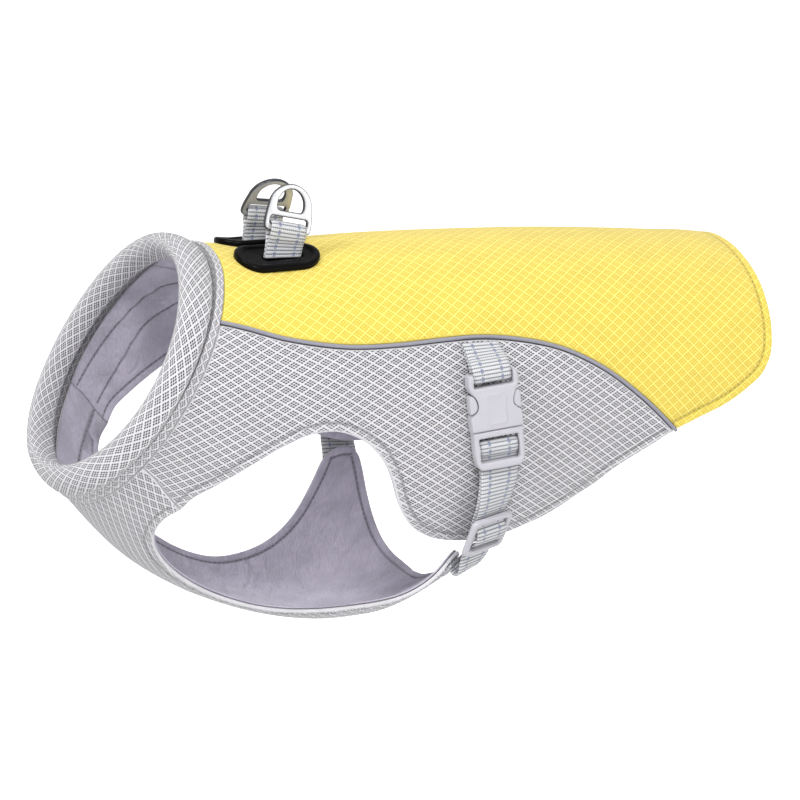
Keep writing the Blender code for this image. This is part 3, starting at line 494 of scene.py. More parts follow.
def air_mesh(name, ground, line, hole, depth=0.55, diamond=(8.2, 4.9)):
    """Polyester air mesh: raised lines cross in diamonds, long x wide in mm, with nine holes in each,
    coloured darker as painted shade inside them.
    """
    made, tree, shader = finish(name, 0.88, Sheen_Weight=0.2, Sheen_Roughness=0.6, Specular_IOR_Level=0.2)
    math, between = arithmetic(tree)
    place = node(tree, "ShaderNodeUVMap", uv_map="cut").outputs[0]
    split = node(tree, "ShaderNodeSeparateXYZ", {0: place}).outputs
    fuzz = node(tree, "ShaderNodeTexNoise", {"Scale": 1500.0, "Detail": 2.0}).outputs[0]
    long, wide = (math("DIVIDE", value, size / 1000) for value, size in zip(split, diamond))
    long = math("ADD", long, math("MULTIPLY", math("SUBTRACT", fuzz, 0.5), 0.16))
    from_middle, from_hole = [], []
    for kind in ("ADD", "SUBTRACT"):
        centred = math("SUBTRACT", math("FRACT", math(kind, long, wide)), 0.5)
        from_middle.append(math("ABSOLUTE", centred))
        part = math("FRACT", math("ADD", math("MULTIPLY", centred, 3.55), 0.5))
        from_hole.append(math("ABSOLUTE", math("SUBTRACT", part, 0.5)))
    ridge = between(math("MAXIMUM", *from_middle), 0.424, 0.46)
    near = math("SQRT", math("ADD", *(math("POWER", far, 2) for far in from_hole)))
    in_hem = mark_of(tree, "hem")  # in a folded hem the holes are half filled and the lines flatter
    shown = math("SUBTRACT", 1.0, math("MULTIPLY", in_hem, 0.15))
    shown = math("MULTIPLY", shown, between(mark_of(tree, "rim"), 0.4, 1.3))
    # the holes take the dark hole colour: painted shade inside the openings of the mesh
    hollow = math("MULTIPLY", between(near, 0.28, 0.47, 1.0, 0.0), math("SUBTRACT", 1.0, ridge))
    hollow = math("MULTIPLY", hollow, shown)
    ridge = math("MULTIPLY", ridge, math("SUBTRACT", 1.0, math("MULTIPLY", in_hem, 0.6)))
    cloudy = node(tree, "ShaderNodeTexNoise", {"Scale": 16.0, "Detail": 3.0}).outputs[0]
    tone = math("MULTIPLY", between(fuzz, 0.35, 0.65, 0.8, 1.12), between(cloudy, 0.3, 0.7, 0.96, 1.02))
    # darker near the sewing: painted shade in the sunk line of sewing
    tone = math("MULTIPLY", tone, between(mark_of(tree, "sewn"), 0.3, 1.1, 0.55, 1.0))
    coloured(tree, shader, mixed(tree, hollow, mixed(tree, ridge, ground, line), hole), tone)
    height = math("SUBTRACT", ridge, math("MULTIPLY", hollow, 1.3))
    bumped(tree, shader, depth, 0.0006, math("ADD", height, math("MULTIPLY", fuzz, 0.6)))
    return made


yellow_mesh = air_mesh("yellow_polyester_air_mesh", "F0DC63", "F4E37B", "DAB840", 0.4, (7.0, 5.8))
BARE = 1.15  # from the seam to the cut edge beside the piping
# soft folds, placed on the flat cut: along, across, direction, half length and width, height
BACK_FOLDS = ((-40, -50, 20, 30, 9, 0.5), (60, 40, -15, 45, 12, 0.5), (150, -70, 30, 34, 9, -0.5),
              (190, 30, 80, 40, 11, 0.5), (110, 75, 10, 30, 8, -0.5), (-20, 60, -25, 28, 8, 0.4))
back_cut = back_outline(BARE)
tail = np.vstack([mirrored(sampled(TAIL_LINE)), sampled(TAIL_LINE)[-2::-1]])
tail_hem = sewn_along(body, back_cut, tail, TAIL_HEM)
back_cloth = cloth("back_cloth", body, back_cut, 0, -MESH, yellow_mesh, BACK_FOLDS,
                   [tail_hem], TAIL_HEM, thread="yellow")
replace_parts(back_cloth, "back_panel")

# ---- Side panels --------------------------------------------------------------------------------
# One panel of light grey air mesh on each side, from the neck seam to the flank, round the leg
# opening. Topstitched along the leg opening and the lower edge.
CHEST_SEAM = ((NECK_EDGE, 116), (9.5, 117), (15, 118.5), (26.5, 121.5))
ARMHOLE_LINE = (
    (26.5, 121.5), (28, 114), (32.5, 107.5), (42, 97.2), (54, 88), (64.5, 83), (76.5, 80.8),
    (90.5, 82), (102.5, 86.2), (111.5, 92), (118.5, 99), (126.5, 104.8), (136, 108.5),
    (150.5, 111.5), (167.5, 112.8), (184, 112),
)
SIDE_HEM = ((184, 112), (203, 108.8), (221.5, 103.5), (243.5, 96.2), (260.5, 91.8), (275.5, 88))


def chest_edge(gap):
    return moved_aside(body, mirrored(sampled(CHEST_SEAM)), gap)


def side_outline(gap):
    top, front = piping_edge(gap), chest_edge(-GAP / 2)
    neck = np.column_stack([np.full(38, NECK_EDGE), np.linspace(top[0][1], front[0][1], 39)[:-1]])
    armhole = mirrored(sampled(ARMHOLE_LINE))[1:]
    hem = mirrored(sampled(SIDE_HEM))[1:-1]
    return np.vstack([neck, front, armhole, hem, top[:0:-1]])


grey_mesh = air_mesh("light_grey_polyester_air_mesh", "DEDDE1", "E3E2E6", "241F28")
SIDE_FOLDS = ((-30, -110, -35, 26, 7, 0.5), (20, -95, 15, 30, 9, 0.4), (75, -120, 70, 26, 7, -0.5),
              (110, -150, -50, 22, 6, 0.5))
HANDS = {"left": lambda line: line, "right": mirrored}  # how a line of the left piece is turned


def hand_folds(folds, hand):
    """Folds placed on the left piece, a little moved and weaker on the right one."""
    if hand == "left":
        return folds
    return [(x + 9, -y - 4, -turn + 8, long, wide, 0.8 * rise) for x, y, turn, long, wide, rise in folds]


side_cuts = {}
for hand, turned in HANDS.items():
    cut = turned(side_outline(BARE))
    free_edge = turned(mirrored(np.vstack([sampled(ARMHOLE_LINE), sampled(SIDE_HEM)[1:]])))
    side_cuts[hand] = cut, sewn_along(body, cut, free_edge, HEM)
    piece = cloth(f"side_cloth_{hand}", body, cut, 0, -MESH, grey_mesh,
                  hand_folds(SIDE_FOLDS, hand), [side_cuts[hand][1]])
    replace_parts(piece, f"side_panel_{hand}")

# ---- Chest and belly panel ----------------------------------------------------------------------
# One Y-shaped piece of the same grey mesh: its stem is the chest, between the side panels, and its
# two arms run back under the belly and up to the side straps. The left arm hangs twisted.
ARM_FRONT = (
    (26.5, 121.5), (24.5, 128), (25, 134), (28.5, 141.2), (40, 149.5), (57, 155.2), (66.5, 156.6),
    (78, 156), (92.5, 151.8), (108.5, 145), (122.5, 136.2), (133, 126.5), (139, 119.8), (142, 116.0),
)
ARM_TIP = ((142, 116.0), (151, 115.4), (160, 117.0))
ARM_REAR = (
    (160, 117.0), (162, 125.0), (163, 135), (163.8, 146), (164.8, 156.8), (166.4, 166), (168.2, 174),
    (168.8, 180),
)
BELLY_LIFT = ((60, 0), (120, 2.0), (150, 6.5), (175, 13.5), (200, 20.5))
ARM_CENTRE, ARM_SWAY = np.array((83, -71, -138)), np.array((7, 2, -6))
ARM_TWIST, ARM_TILT, ARM_HUMP = 42, -0.1, 7.0


def belly(back, around):
    """Outer face of the chest and belly panel."""
    back, around = np.broadcast_arrays(np.asarray(back, float), np.asarray(around, float))
    point = body(back, around, curve(BELLY_LIFT, np.maximum(back, 60))[:, 0])
    free = (around > 0) | (around < -178)
    pull = np.where(free, 0, ease((160 + around) / 44) * ease((back - 95) / 35))
    turn = np.radians(ARM_TWIST) * pull
    offset = point - ARM_CENTRE
    turned = np.column_stack([
        offset[:, 0] * np.cos(turn) - offset[:, 1] * np.sin(turn),
        offset[:, 0] * np.sin(turn) + offset[:, 1] * np.cos(turn),
        offset[:, 2] + offset[:, 0] * ARM_TILT * pull,
    ])
    near = ease((150 + around) / 34)[:, None]
    hump = ARM_HUMP * ease((back - 132) / 34) * np.sin(pi * np.clip((around + 178) / 58, 0, 1))
    moved = ARM_CENTRE + offset + (turned - offset) * near + ARM_SWAY * pull[:, None]
    moved[:, 2] += hump
    return np.where(free[:, None], point, moved)


def corners_rounded(line, corners, reach):
    """A cut line with the turns at the given places rounded off."""
    line = line.copy()
    for corner in corners:
        far = np.hypot(*((line - corner) * ROUND_MM).T)
        near = np.flatnonzero(far < reach)
        t = ((np.arange(len(near)) + 1) / (len(near) + 1))[:, None]
        start, end = line[near[0] - 1], line[near[-1] + 1]
        line[near] = (1 - t) ** 2 * start + 2 * t * (1 - t) * np.asarray(corner) + t ** 2 * end
    return line


def across_belly(line):
    """A line on the belly piece mirrored over its middle."""
    return np.column_stack([line[:, 0], -360 - line[:, 1]])


def belly_outline():
    front, tip, rear = (mirrored(sampled(line)) for line in (ARM_FRONT, ARM_TIP, ARM_REAR))
    half = np.vstack([chest_edge(GAP / 2), front[1:-1], tip, rear[1:]])
    half = corners_rounded(half, mirrored([ARM_TIP[0], ARM_TIP[-1]]), 5.5)
    other = across_belly(half[:-1])[::-1]
    return np.vstack([half, other, arc_round(other[-1][1], half[0][1])[1:-1]])


BELLY_FOLDS = ((-20, -225, 25, 30, 7, 0.4), (30, -270, -30, 34, 8, -0.5), (-5, -300, 40, 26, 7, 0.4))


def belly_hems(outline):
    """Sewing along both free edges of the belly piece."""
    left = mirrored(np.vstack([sampled(ARM_FRONT), sampled(ARM_TIP)[1:], sampled(ARM_REAR)[1:]]))
    return [sewn_along(belly, outline, line, HEM) for line in (left, across_belly(left))]


belly_cut = belly_outline()
belly_cloth = cloth("belly_cloth", belly, belly_cut, 0, -MESH, grey_mesh, BELLY_FOLDS,
                    belly_hems(belly_cut), middle=-180)
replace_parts(belly_cloth, "belly_panel")

# ---- Linings ------------------------------------------------------------------------------------
# Grey-lilac brushed knit behind every panel, sewn in with it. It runs on under the piping, so the
# linings meet at the seams. Soft wrinkles where the cloth is drawn together.
INNER = -MESH - GAP


def brushed_knit():
    """Brushed knit lining: fine ribs under a soft nap, darker where it is sewn down as painted shade in the
    sunk sewing.
    """
    made, tree, shader = finish("lilac_grey_brushed_knit", 0.95, Sheen_Weight=0.35, Sheen_Roughness=0.5,
                                Specular_IOR_Level=0.15)
    math, between = arithmetic(tree)
    place = node(tree, "ShaderNodeUVMap", uv_map="cut").outputs[0]
    drawn = node(tree, "ShaderNodeMapping", {"Vector": place, "Scale": (1000, 1000, 1)}).outputs[0]
    ribs = {"Vector": drawn, "Scale": 0.36, "Distortion": 2.2, "Detail": 2.0, "Detail Scale": 0.6}
    ribs = node(tree, "ShaderNodeTexWave", ribs, bands_direction="X").outputs["Fac"]
    streaks = node(tree, "ShaderNodeMapping", {"Vector": drawn, "Scale": (1.6, 0.22, 1)}).outputs[0]
    nap = {"Vector": streaks, "Scale": 1.0, "Detail": 4.0, "Roughness": 0.7}
    nap = node(tree, "ShaderNodeTexNoise", nap).outputs[0]
    cloud = node(tree, "ShaderNodeTexNoise", {"Vector": drawn, "Scale": 0.05, "Detail": 2.0}).outputs[0]
    tone = between(ribs, 0.0, 1.0, 0.96, 1.03)
    tone = math("MULTIPLY", tone, between(nap, 0.3, 0.7, 0.88, 1.09))
    tone = math("MULTIPLY", tone, between(cloud, 0.35, 0.65, 0.9, 1.08))
    # darker near the sewing: painted shade in the sunk line of sewing
    tone = math("MULTIPLY", tone, between(mark_of(tree, "sewn"), 0.2, 1.3, 0.55, 1.0))
    coloured(tree, shader, "BBB6C5", tone)
    soft = {"Vector": drawn, "Scale": 0.11, "Detail": 2.0, "Distortion": 0.8}
    soft = node(tree, "ShaderNodeTexNoise", soft).outputs[0]
    puckers = node(tree, "ShaderNodeBump", {"Strength": 0.6, "Distance": 0.004, "Height": soft}).outputs[0]
    bumped(tree, shader, 0.5, 0.0004, math("MULTIPLY_ADD", nap, 1.2, ribs), Normal=puckers)
    return made


knit = brushed_knit()
LINING_WRINKLES = [
    (-10, -215, 80, 22, 3.6, 1.1), (30, -232, 70, 26, 4.4, 1.1), (55, -262, -75, 24, 4.0, 0.9),
    (12, -255, 20, 30, 4.2, 1.0), (70, -215, 40, 20, 4.0, 0.8), (50, -300, 85, 24, 4.2, 0.9),
    (20, -330, 60, 22, 4.0, 0.8), (35, -285, 15, 36, 5.0, 1.2), (48, -240, -10, 26, 4.0, 1.1),
    (5, -290, 65, 20, 3.5, 0.9), (62, -280, 30, 18, 3.6, 0.9),
]
# short ones across the band between the tack lines, on both sides: along, across, direction
NECK_WRINKLES = ((-101, 80, 20), (-99, 91, 5), (-103, 100, -12), (-104, 112, 8), (-106, 124, -6),
                 (-92, 84, 30), (-108, 134, 12))
for way in (1, -1):
    LINING_WRINKLES += [(x, way * y, way * turn, 9, 2.6, 0.7) for x, y, turn in NECK_WRINKLES]
# lines of sewing that hold the lining to the mesh, on the left: back and round
NECK_TACK = ((27, 58), (19, 62), (14, 70), (12, 77), (8, 96), (5.2, 115))
CHEST_TACK = ((52, 56), (36, 68), (26, 79), (22, 98), (18.2, 116.5))
FRONT_TACK = ((18.0, 120), (15.5, 140), (14.2, 160), (14, 180))


def lining(name, node_name, surface, outline, folds, sewn, under=None, hem=HEM, middle=0):
    piece = cloth(name, surface, outline, INNER, INNER - LINING, knit, folds, sewn, hem,
                  under, "lilac", LINING_WRINKLES, middle)
    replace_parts(piece, node_name)


lining("back_lining", "lining_back", body, back_cut, BACK_FOLDS, [tail_hem], back_outline(GAP / 2), TAIL_HEM)
for hand, turned in HANDS.items():
    cut, hem_line = side_cuts[hand]
    tacks = [turned(mirrored(sampled(line))) for line in (NECK_TACK, CHEST_TACK)]
    lining(f"side_lining_{hand}", f"lining_side_{hand}", body, cut, hand_folds(SIDE_FOLDS, hand),
           [hem_line] + tacks, turned(side_outline(GAP / 2)))
half_tack = mirrored(sampled(FRONT_TACK))
front_tack = np.vstack([half_tack, across_belly(half_tack[:-1])[::-1]])
lining("belly_lining", "lining_belly", belly, belly_cut, BELLY_FOLDS, belly_hems(belly_cut) + [front_tack],
       middle=-180)

# ---- Neck roll and seam band --------------------------------------------------------------------
# Tube of grey air mesh over soft foam round the neck. A folded strip of the same cloth covers the
# seam behind it and is stitched down all round; its tongue runs on into the roll.
ROLL_CENTRE = np.array((-74.4, 0, -52.8))
ROLL_HEIGHT, ROLL_WIDTH = 63.9, 63.2  # half sizes of the roll's oval
ROLL_LEAN = radians(35.6)
ROLL_NOD, ROLL_BOW = 7.0, 3.7  # how far its top stands ahead, and how far its sides are bowed back
ROLL_LONG, ROLL_THICK, ROLL_TURN = 10.6, 5.9, radians(-10.9)  # half sizes of its section, and its turn
ROLL_BACK = -3.6  # it ends this far ahead of the neck seam
ROLL_SOFT = 3.0  # the last part of it is pressed flat against that end
ROLL_ROUND, ROLL_SIDES = 300, 40  # points round the neck and round the section


def outward(points, faces):
    """Whether the faces of a closed piece look outward."""
    middle = points.mean(0)
    corners = ((points[i] - middle for i in face[:3]) for face in faces)
    return sum(np.dot(first, np.cross(second, third)) for first, second, third in corners) > 0


def sweep(name, sections, coat, girth=None, runs=None, closed=False, sewn=20.0, hem=1.0, drawn=1.0):
    """A smooth piece through sections of equal size, with its length and girth as UV.

    girth and runs replace the measured lengths. sewn is how far the next sewing lies, for all or
    for each point of a section, and drawn is how much closer the pattern of the cloth is drawn.
    """
    sections = [np.asarray(section) for section in sections]
    size, count = len(sections[0]), len(sections)
    points = np.vstack(sections)
    if runs is None:
        middles = np.array([section.mean(0) for section in sections])
        steps = np.linalg.norm(np.roll(middles, -1, 0) - middles, axis=1)
        runs = np.concatenate([[0], np.cumsum(steps)])
    if girth is None:
        steps = np.linalg.norm(np.roll(sections[0], -1, 0) - sections[0], axis=1)
        girth = np.concatenate([[0], np.cumsum(steps)])
    faces, uv = [], []
    for i in range(count if closed else count - 1):
        a, b = i * size, (i + 1) % count * size
        for k in range(size):
            j = (k + 1) % size
            faces.append((a + k, a + j, b + j, b + k))
            uv.append([(runs[i + m], girth[k + n]) for m, n in ((0, 0), (0, 1), (1, 1), (1, 0))])
    if not closed:
        for at, order in ((0, range(size)[::-1]), (count - 1, range(size))):
            faces.append(tuple(at * size + k for k in order))
            uv.append([(runs[at], girth[k]) for k in order])
    if not outward(points, faces):
        faces, uv = ([corners[::-1] for corners in every] for every in (faces, uv))
    marks = {"sewn": np.tile(np.broadcast_to(sewn, size), count),
             "rim": np.full(len(points), 20.0), "hem": np.full(len(points), hem)}
    return add_mesh(name, points, faces, coat, corner_uv=np.vstack(uv) * 0.001 * drawn, marks=marks)


def neck_roll():
    """Sections of the roll: an oval tube that leans back, puckered at the seam and pressed to it."""
    up = np.array((sin(ROLL_LEAN), 0, cos(ROLL_LEAN)))
    ahead = np.array((-cos(ROLL_LEAN), 0, sin(ROLL_LEAN)))
    seam, seam_lean = np.array((FORM[0, 1], 0, FORM[0, 2])), radians(FORM[0, 3])
    behind = np.array((cos(seam_lean), 0, -sin(seam_lean)))
    limit = ROLL_BACK - ROLL_SOFT
    around = 2 * pi * np.arange(ROLL_SIDES)[:, None] / ROLL_SIDES
    sections = []
    for turn in 2 * pi * np.arange(ROLL_ROUND) / ROLL_ROUND:
        middle = ROLL_CENTRE + up * ROLL_HEIGHT * cos(turn) + np.array((0, ROLL_WIDTH * sin(turn), 0))
        middle = middle + ahead * (ROLL_NOD * cos(turn) - ROLL_BOW * sin(turn) ** 2)
        flat_out = up * cos(turn) * ROLL_WIDTH + np.array((0, ROLL_HEIGHT * sin(turn), 0))
        flat_out = flat_out / np.linalg.norm(flat_out)
        out = flat_out * cos(ROLL_TURN) - ahead * sin(ROLL_TURN)
        along = ahead * cos(ROLL_TURN) + flat_out * sin(ROLL_TURN)
        swell = 1 + 0.018 * sin(5 * turn + 0.6) + 0.012 * sin(11 * turn + 2.1)
        pucker = 0.012 * sin(23 * turn + 1.3 * sin(3 * turn)) * np.maximum(0, -np.cos(around)) ** 2
        ring = along * ROLL_LONG * np.cos(around) + out * ROLL_THICK * np.sin(around) * swell
        ring = middle + ring * (1 + pucker)
        depth = ((ring - seam) @ behind)[:, None]
        pressed = limit + ROLL_SOFT * (1 - np.exp((limit - np.maximum(depth, limit)) / ROLL_SOFT))
        sections.append(ring + behind * np.where(depth > limit, pressed - depth, 0))
    return sections


def seam_band():
    """Sections of the strip over the seam: two soft folds with a dip between them, and its tongue."""
    rear = NECK_EDGE - GAP
    front, under, tongue = rear - 4.5, -MESH - 0.4, 3.5
    profile = [
        (front, under), (rear, under), (rear, 0.2), (rear - 0.25, 0.62), (rear - 0.8, 0.88),
        (rear - 1.6, 0.85), (rear - 2.2, 0.55), (rear - 2.8, 0.85), (front + 0.9, 0.88),
        (front + 0.3, 0.62), (front, 0.2), (front, -0.6), (front - tongue, -0.6), (front - tongue, -1.5),
        (front, -1.5),
    ]
    turns = np.linspace(0, 360, ROLL_ROUND + 1)[:-1]
    sway = 0.12 * np.sin(np.radians(turns * 13))
    rows = [raised(body, back + sway, turns, np.full(ROLL_ROUND, height)) for back, height in profile]
    return list(np.stack(rows, 1))


# the pattern of the mesh is drawn closer on the roll than its real lengths give
cloth_runs, cloth_girth = np.linspace(0, 440, ROLL_ROUND + 1), np.linspace(0, 66, ROLL_SIDES + 1)
neck_tube = sweep("neck_tube", neck_roll(), grey_mesh, cloth_girth, cloth_runs, True, hem=0.0)
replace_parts(neck_tube, "neck_roll")
# the strip gets painted shade where it is sewn down: at its edges and in the dip
PAINTED_SEAM_SHADE = (0.3, 0.3, 0.4, 1.6, 1.6, 1.6, 0.5, 1.6, 1.6, 1.0, 0.3, 0.3, 0.3, 0.3, 0.3)
neck_edge_strip = sweep("neck_edge_strip", seam_band(), grey_mesh, closed=True,
                        sewn=PAINTED_SEAM_SHADE, drawn=1.35)
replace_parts(neck_edge_strip, "neck_seam_band")

# ---- Piping -------------------------------------------------------------------------------------
# Dark grey bias tape folded over a thin cord and caught in the seam between back and side.
piping_tape, tree, shader = finish("slate_grey_bias_tape", 0.8, Sheen_Weight=0.2)
place = node(tree, "ShaderNodeUVMap", uv_map="cut").outputs[0]
drawn = {"Vector": place, "Rotation": (0, 0, radians(40)), "Scale": (1000, 1000, 1)}
drawn = node(tree, "ShaderNodeMapping", drawn).outputs[0]
twill = {"Vector": drawn, "Scale": 0.55, "Distortion": 0.6, "Detail": 1.0}
twill = node(tree, "ShaderNodeTexWave", twill).outputs["Fac"]
tone = node(tree, "ShaderNodeMath", {0: twill, 1: 0.18, 2: 0.9}, operation="MULTIPLY_ADD").outputs[0]
coloured(tree, shader, "8D8D99", tone)
bumped(tree, shader, 0.3, 0.0003, twill)

CORD_RADIUS, CORD_HEIGHT = 0.92, 0.25
turns = np.radians(range(-30, 211, 20))
cord = [(CORD_RADIUS * cos(turn), CORD_HEIGHT + CORD_RADIUS * sin(turn)) for turn in turns]
PIPING_PROFILE = [(-0.8, -MESH), (0.8, -MESH), (0.5, -0.6), *cord, (-0.5, -0.6)]  # aside and height
for hand, turned in HANDS.items():
    line = turned(moved_aside(body, mirrored(sampled(PIPING_LINE, 1.6)), 0))
    run = np.gradient(line, axis=0)
    point, by_back, by_round, normal = slopes(body, line[:, 0], line[:, 1])
    aside = np.cross(by_back * run[:, :1] + by_round * run[:, 1:], normal)
    aside /= np.linalg.norm(aside, axis=1)[:, None]
    sections = np.stack([point + aside * u + normal * h for u, h in PIPING_PROFILE], 1)
    piece = sweep(f"piping_{hand}_tape", list(sections), piping_tape)
    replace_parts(piece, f"piping_{hand}")

# ---- Eyelets ------------------------------------------------------------------------------------
# Two glossy black moulded plates on the back: a raised rim round a sunk floor with a blind slot,
# out of which the webbing of the lead rings comes up.
SLOT_X, RING_Y, RING_AXIS_Z = 3.4, 15.0, 17.4
EYELET_X, EYELET_Y = 0.9, 14.0
EYELET_LONG, EYELET_WIDE = 44.6, 23.2
# the plate's edge from its foot over the rim to the floor: height and inset
EYELET_EDGE = ((0.2, 0.0), (1.6, 0.0), (2.3, 0.15), (2.75, 0.5), (3.0, 1.0), (3.08, 1.9), (3.0, 2.7),
               (2.7, 3.2), (2.1, 3.6), (1.75, 4.1), (1.6, 4.9))
SLOT_LEVELS = (1.6, 1.3, 0.35)  # heights of the slot's lip, of its wall and of its floor
black_plastic, tree, shader = finish("black_moulded_nylon", 0.3, Specular_IOR_Level=0.08)
shader.inputs["Base Color"].default_value = linear("070708")
grain = node(tree, "ShaderNodeTexNoise", {"Scale": 900.0, "Detail": 3.0}).outputs[0]
bumped(tree, shader, 0.12, 0.0002, grain)
wear = node(tree, "ShaderNodeMapRange", {0: grain, 3: 0.2, 4: 0.34}).outputs[0]
tree.links.new(wear, shader.inputs["Roughness"])


def body_under(x, y):
    """Distance back and degrees round of the points of the back that lie under x and y."""
    back, around = x + 38.0, np.degrees(y / 72.0)
    for _ in range(5):
        point, by_back, by_round, _ = slopes(body, back, around)
        dx, dy = x - point[:, 0], y - point[:, 1]
        share = by_back[:, 0] * by_round[:, 1] - by_round[:, 0] * by_back[:, 1]
        back = back + (dx * by_round[:, 1] - dy * by_round[:, 0]) / share
        around = around + (dy * by_back[:, 0] - dx * by_back[:, 1]) / share
    return back, around


def stadium(length, width, steps):
    angle = np.linspace(-pi / 2, pi / 2, steps + 1)
    end = np.column_stack([(length - width) / 2 + width / 2 * np.cos(angle), width / 2 * np.sin(angle)])
    return np.vstack([end, -end])


def rounded(width, height, radius, steps, centre=(0, 0)):
    loop = []
    for quarter, (sx, sy) in enumerate(((1, 1), (-1, 1), (-1, -1), (1, -1))):
        angle = np.radians(90 * quarter + np.linspace(0, 90, steps + 1))
        loop.append(np.column_stack([
            centre[0] + sx * (width / 2 - radius) + radius * np.cos(angle),
            centre[1] + sy * (height / 2 - radius) + radius * np.sin(angle),
        ]))
    return np.vstack(loop)


def holed_face(outer, holes):
    """Triangles of a flat face inside a loop and outside its holes; points are counted loop by loop."""
    loops = [np.asarray(outer)] + [np.asarray(hole) for hole in holes]
    edges, start = [], 0
    for loop in loops:
        edges += [(start + i, start + (i + 1) % len(loop)) for i in range(len(loop))]
        start += len(loop)
    flat = np.vstack(loops)
    corners, _, faces, _, _, _ = delaunay_2d_cdt([Vector(p) for p in flat.tolist()], edges, [], 0, 1e-5)
    middles = np.array([np.mean([tuple(corners[i]) for i in face], 0) for face in faces])
    keep = within(middles, loops[0])
    for hole in loops[1:]:
        keep &= ~within(middles, hole)
    return [tuple(face) for face, wanted in zip(faces, keep) if wanted]


def eyelet_plate(hand, side):
    loops = [stadium(EYELET_LONG - 2 * inset, EYELET_WIDE - 2 * inset, 28) for _, inset in EYELET_EDGE]
    slot_middle = (SLOT_X - EYELET_X, side * (RING_Y - EYELET_Y))
    lip, wall = rounded(23.2, 6.6, 2.8, 6, slot_middle), rounded(22, 5.4, 2.2, 6, slot_middle)
    size, hole = len(loops[0]), len(wall)
    flat = np.vstack(loops + [lip, wall, wall])
    high = [height for height, _ in EYELET_EDGE for _ in range(size)]
    high = np.array(high + [height for height in SLOT_LEVELS for _ in range(hole)])
    faces = [tuple(reversed(range(size)))]
    rims = len(loops) * size
    rows = [(row * size, size) for row in range(len(loops) - 1)] + [(rims, hole), (rims + hole, hole)]
    for start, count in rows:
        for i in range(count):
            j = (i + 1) % count
            faces.append((start + i, start + j, start + count + j, start + count + i))
    floor_face = holed_face(loops[-1], [lip])
    faces += [tuple(i + rims - size for i in face) for face in floor_face]
    faces.append(tuple(rims + 2 * hole + i for i in range(hole)))
    back, around = body_under(EYELET_X + flat[:, 0], side * EYELET_Y + flat[:, 1])
    points = raised(body, back, around, high)
    piece = add_mesh(f"eyelet_plate_{hand}", points, faces, black_plastic, flat)
    piece.data.set_sharp_from_angle(angle=radians(50))
    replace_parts(piece, f"eyelet_{hand}")


for hand, side in (("left", -1), ("right", 1)):
    eyelet_plate(hand, side)

# ---- Webbing ------------------------------------------------------------------------------------
# Grey polyester webbing with silver reflective picks: ribs every two millimetres and two rows of
# small grey-blue ovals. Loops of it hold the lead rings, the buckles and the belly arms.
WEBBING, STRAP_WIDTH, TAPE_WIDTH, EYE_RADIUS = 1.3, 20.0, 19.2, 2.95
RIB_PITCH, YARN_PITCH, OVAL_PITCH, OVAL_COLUMN = 1.9, 1.1, 3.8, 5.2


def reflective_webbing():
    """Silver ribs over darker yarns, with a stripe of ovals on each side of the middle."""
    made, tree, shader = finish("silver_grey_reflective_webbing", 0.5, Sheen_Weight=0.15)
    math, between = arithmetic(tree)
    place = node(tree, "ShaderNodeUVMap", uv_map="cut").outputs[0]
    split = node(tree, "ShaderNodeSeparateXYZ", {0: place}).outputs
    along, across = math("MULTIPLY", split[0], 1000.0), math("MULTIPLY", split[1], 1000.0)

    def from_middle(value, pitch):
        return math("ABSOLUTE", math("SUBTRACT", math("FRACT", math("DIVIDE", value, pitch)), 0.5))

    column = math("ABSOLUTE", math("SUBTRACT", math("ABSOLUTE", across), OVAL_COLUMN))
    wide, long = math("DIVIDE", column, 0.95), math("DIVIDE", from_middle(along, OVAL_PITCH), 0.33)
    near = math("SQRT", math("ADD", math("POWER", wide, 2), math("POWER", long, 2)))
    oval = between(near, 0.75, 1.05, 1.0, 0.0)
    stripe = between(column, 0.5, 0.9, 1.0, 0.0)
    grain = node(tree, "ShaderNodeTexNoise", {"Scale": 1400.0, "Detail": 3.0, "Roughness": 0.7}).outputs[0]
    uneven = math("MULTIPLY", math("SUBTRACT", grain, 0.5), 0.22)
    crest = between(math("ADD", from_middle(along, RIB_PITCH), uneven), 0.25, 0.42, 1.0, 0.0)
    yarns = mixed(tree, between(from_middle(across, YARN_PITCH), 0.1, 0.4), "A2A4A8", "4A4C50")
    striped = mixed(tree, math("MULTIPLY", stripe, 0.25), mixed(tree, crest, yarns, "C7C8CB"), "9A9DA6")
    tone = math("MULTIPLY_ADD", grain, 0.35, 0.82)
    coloured(tree, shader, mixed(tree, oval, striped, "7F859C"), tone)
    tree.links.new(between(crest, 0, 1, 0.75, 0.38), shader.inputs["Roughness"])
    height = math("SUBTRACT", crest, math("MULTIPLY", stripe, 0.4))
    bumped(tree, shader, 0.5, 0.0004, math("ADD", height, math("MULTIPLY", grain, 0.35)))
    return made


silver_webbing = reflective_webbing()


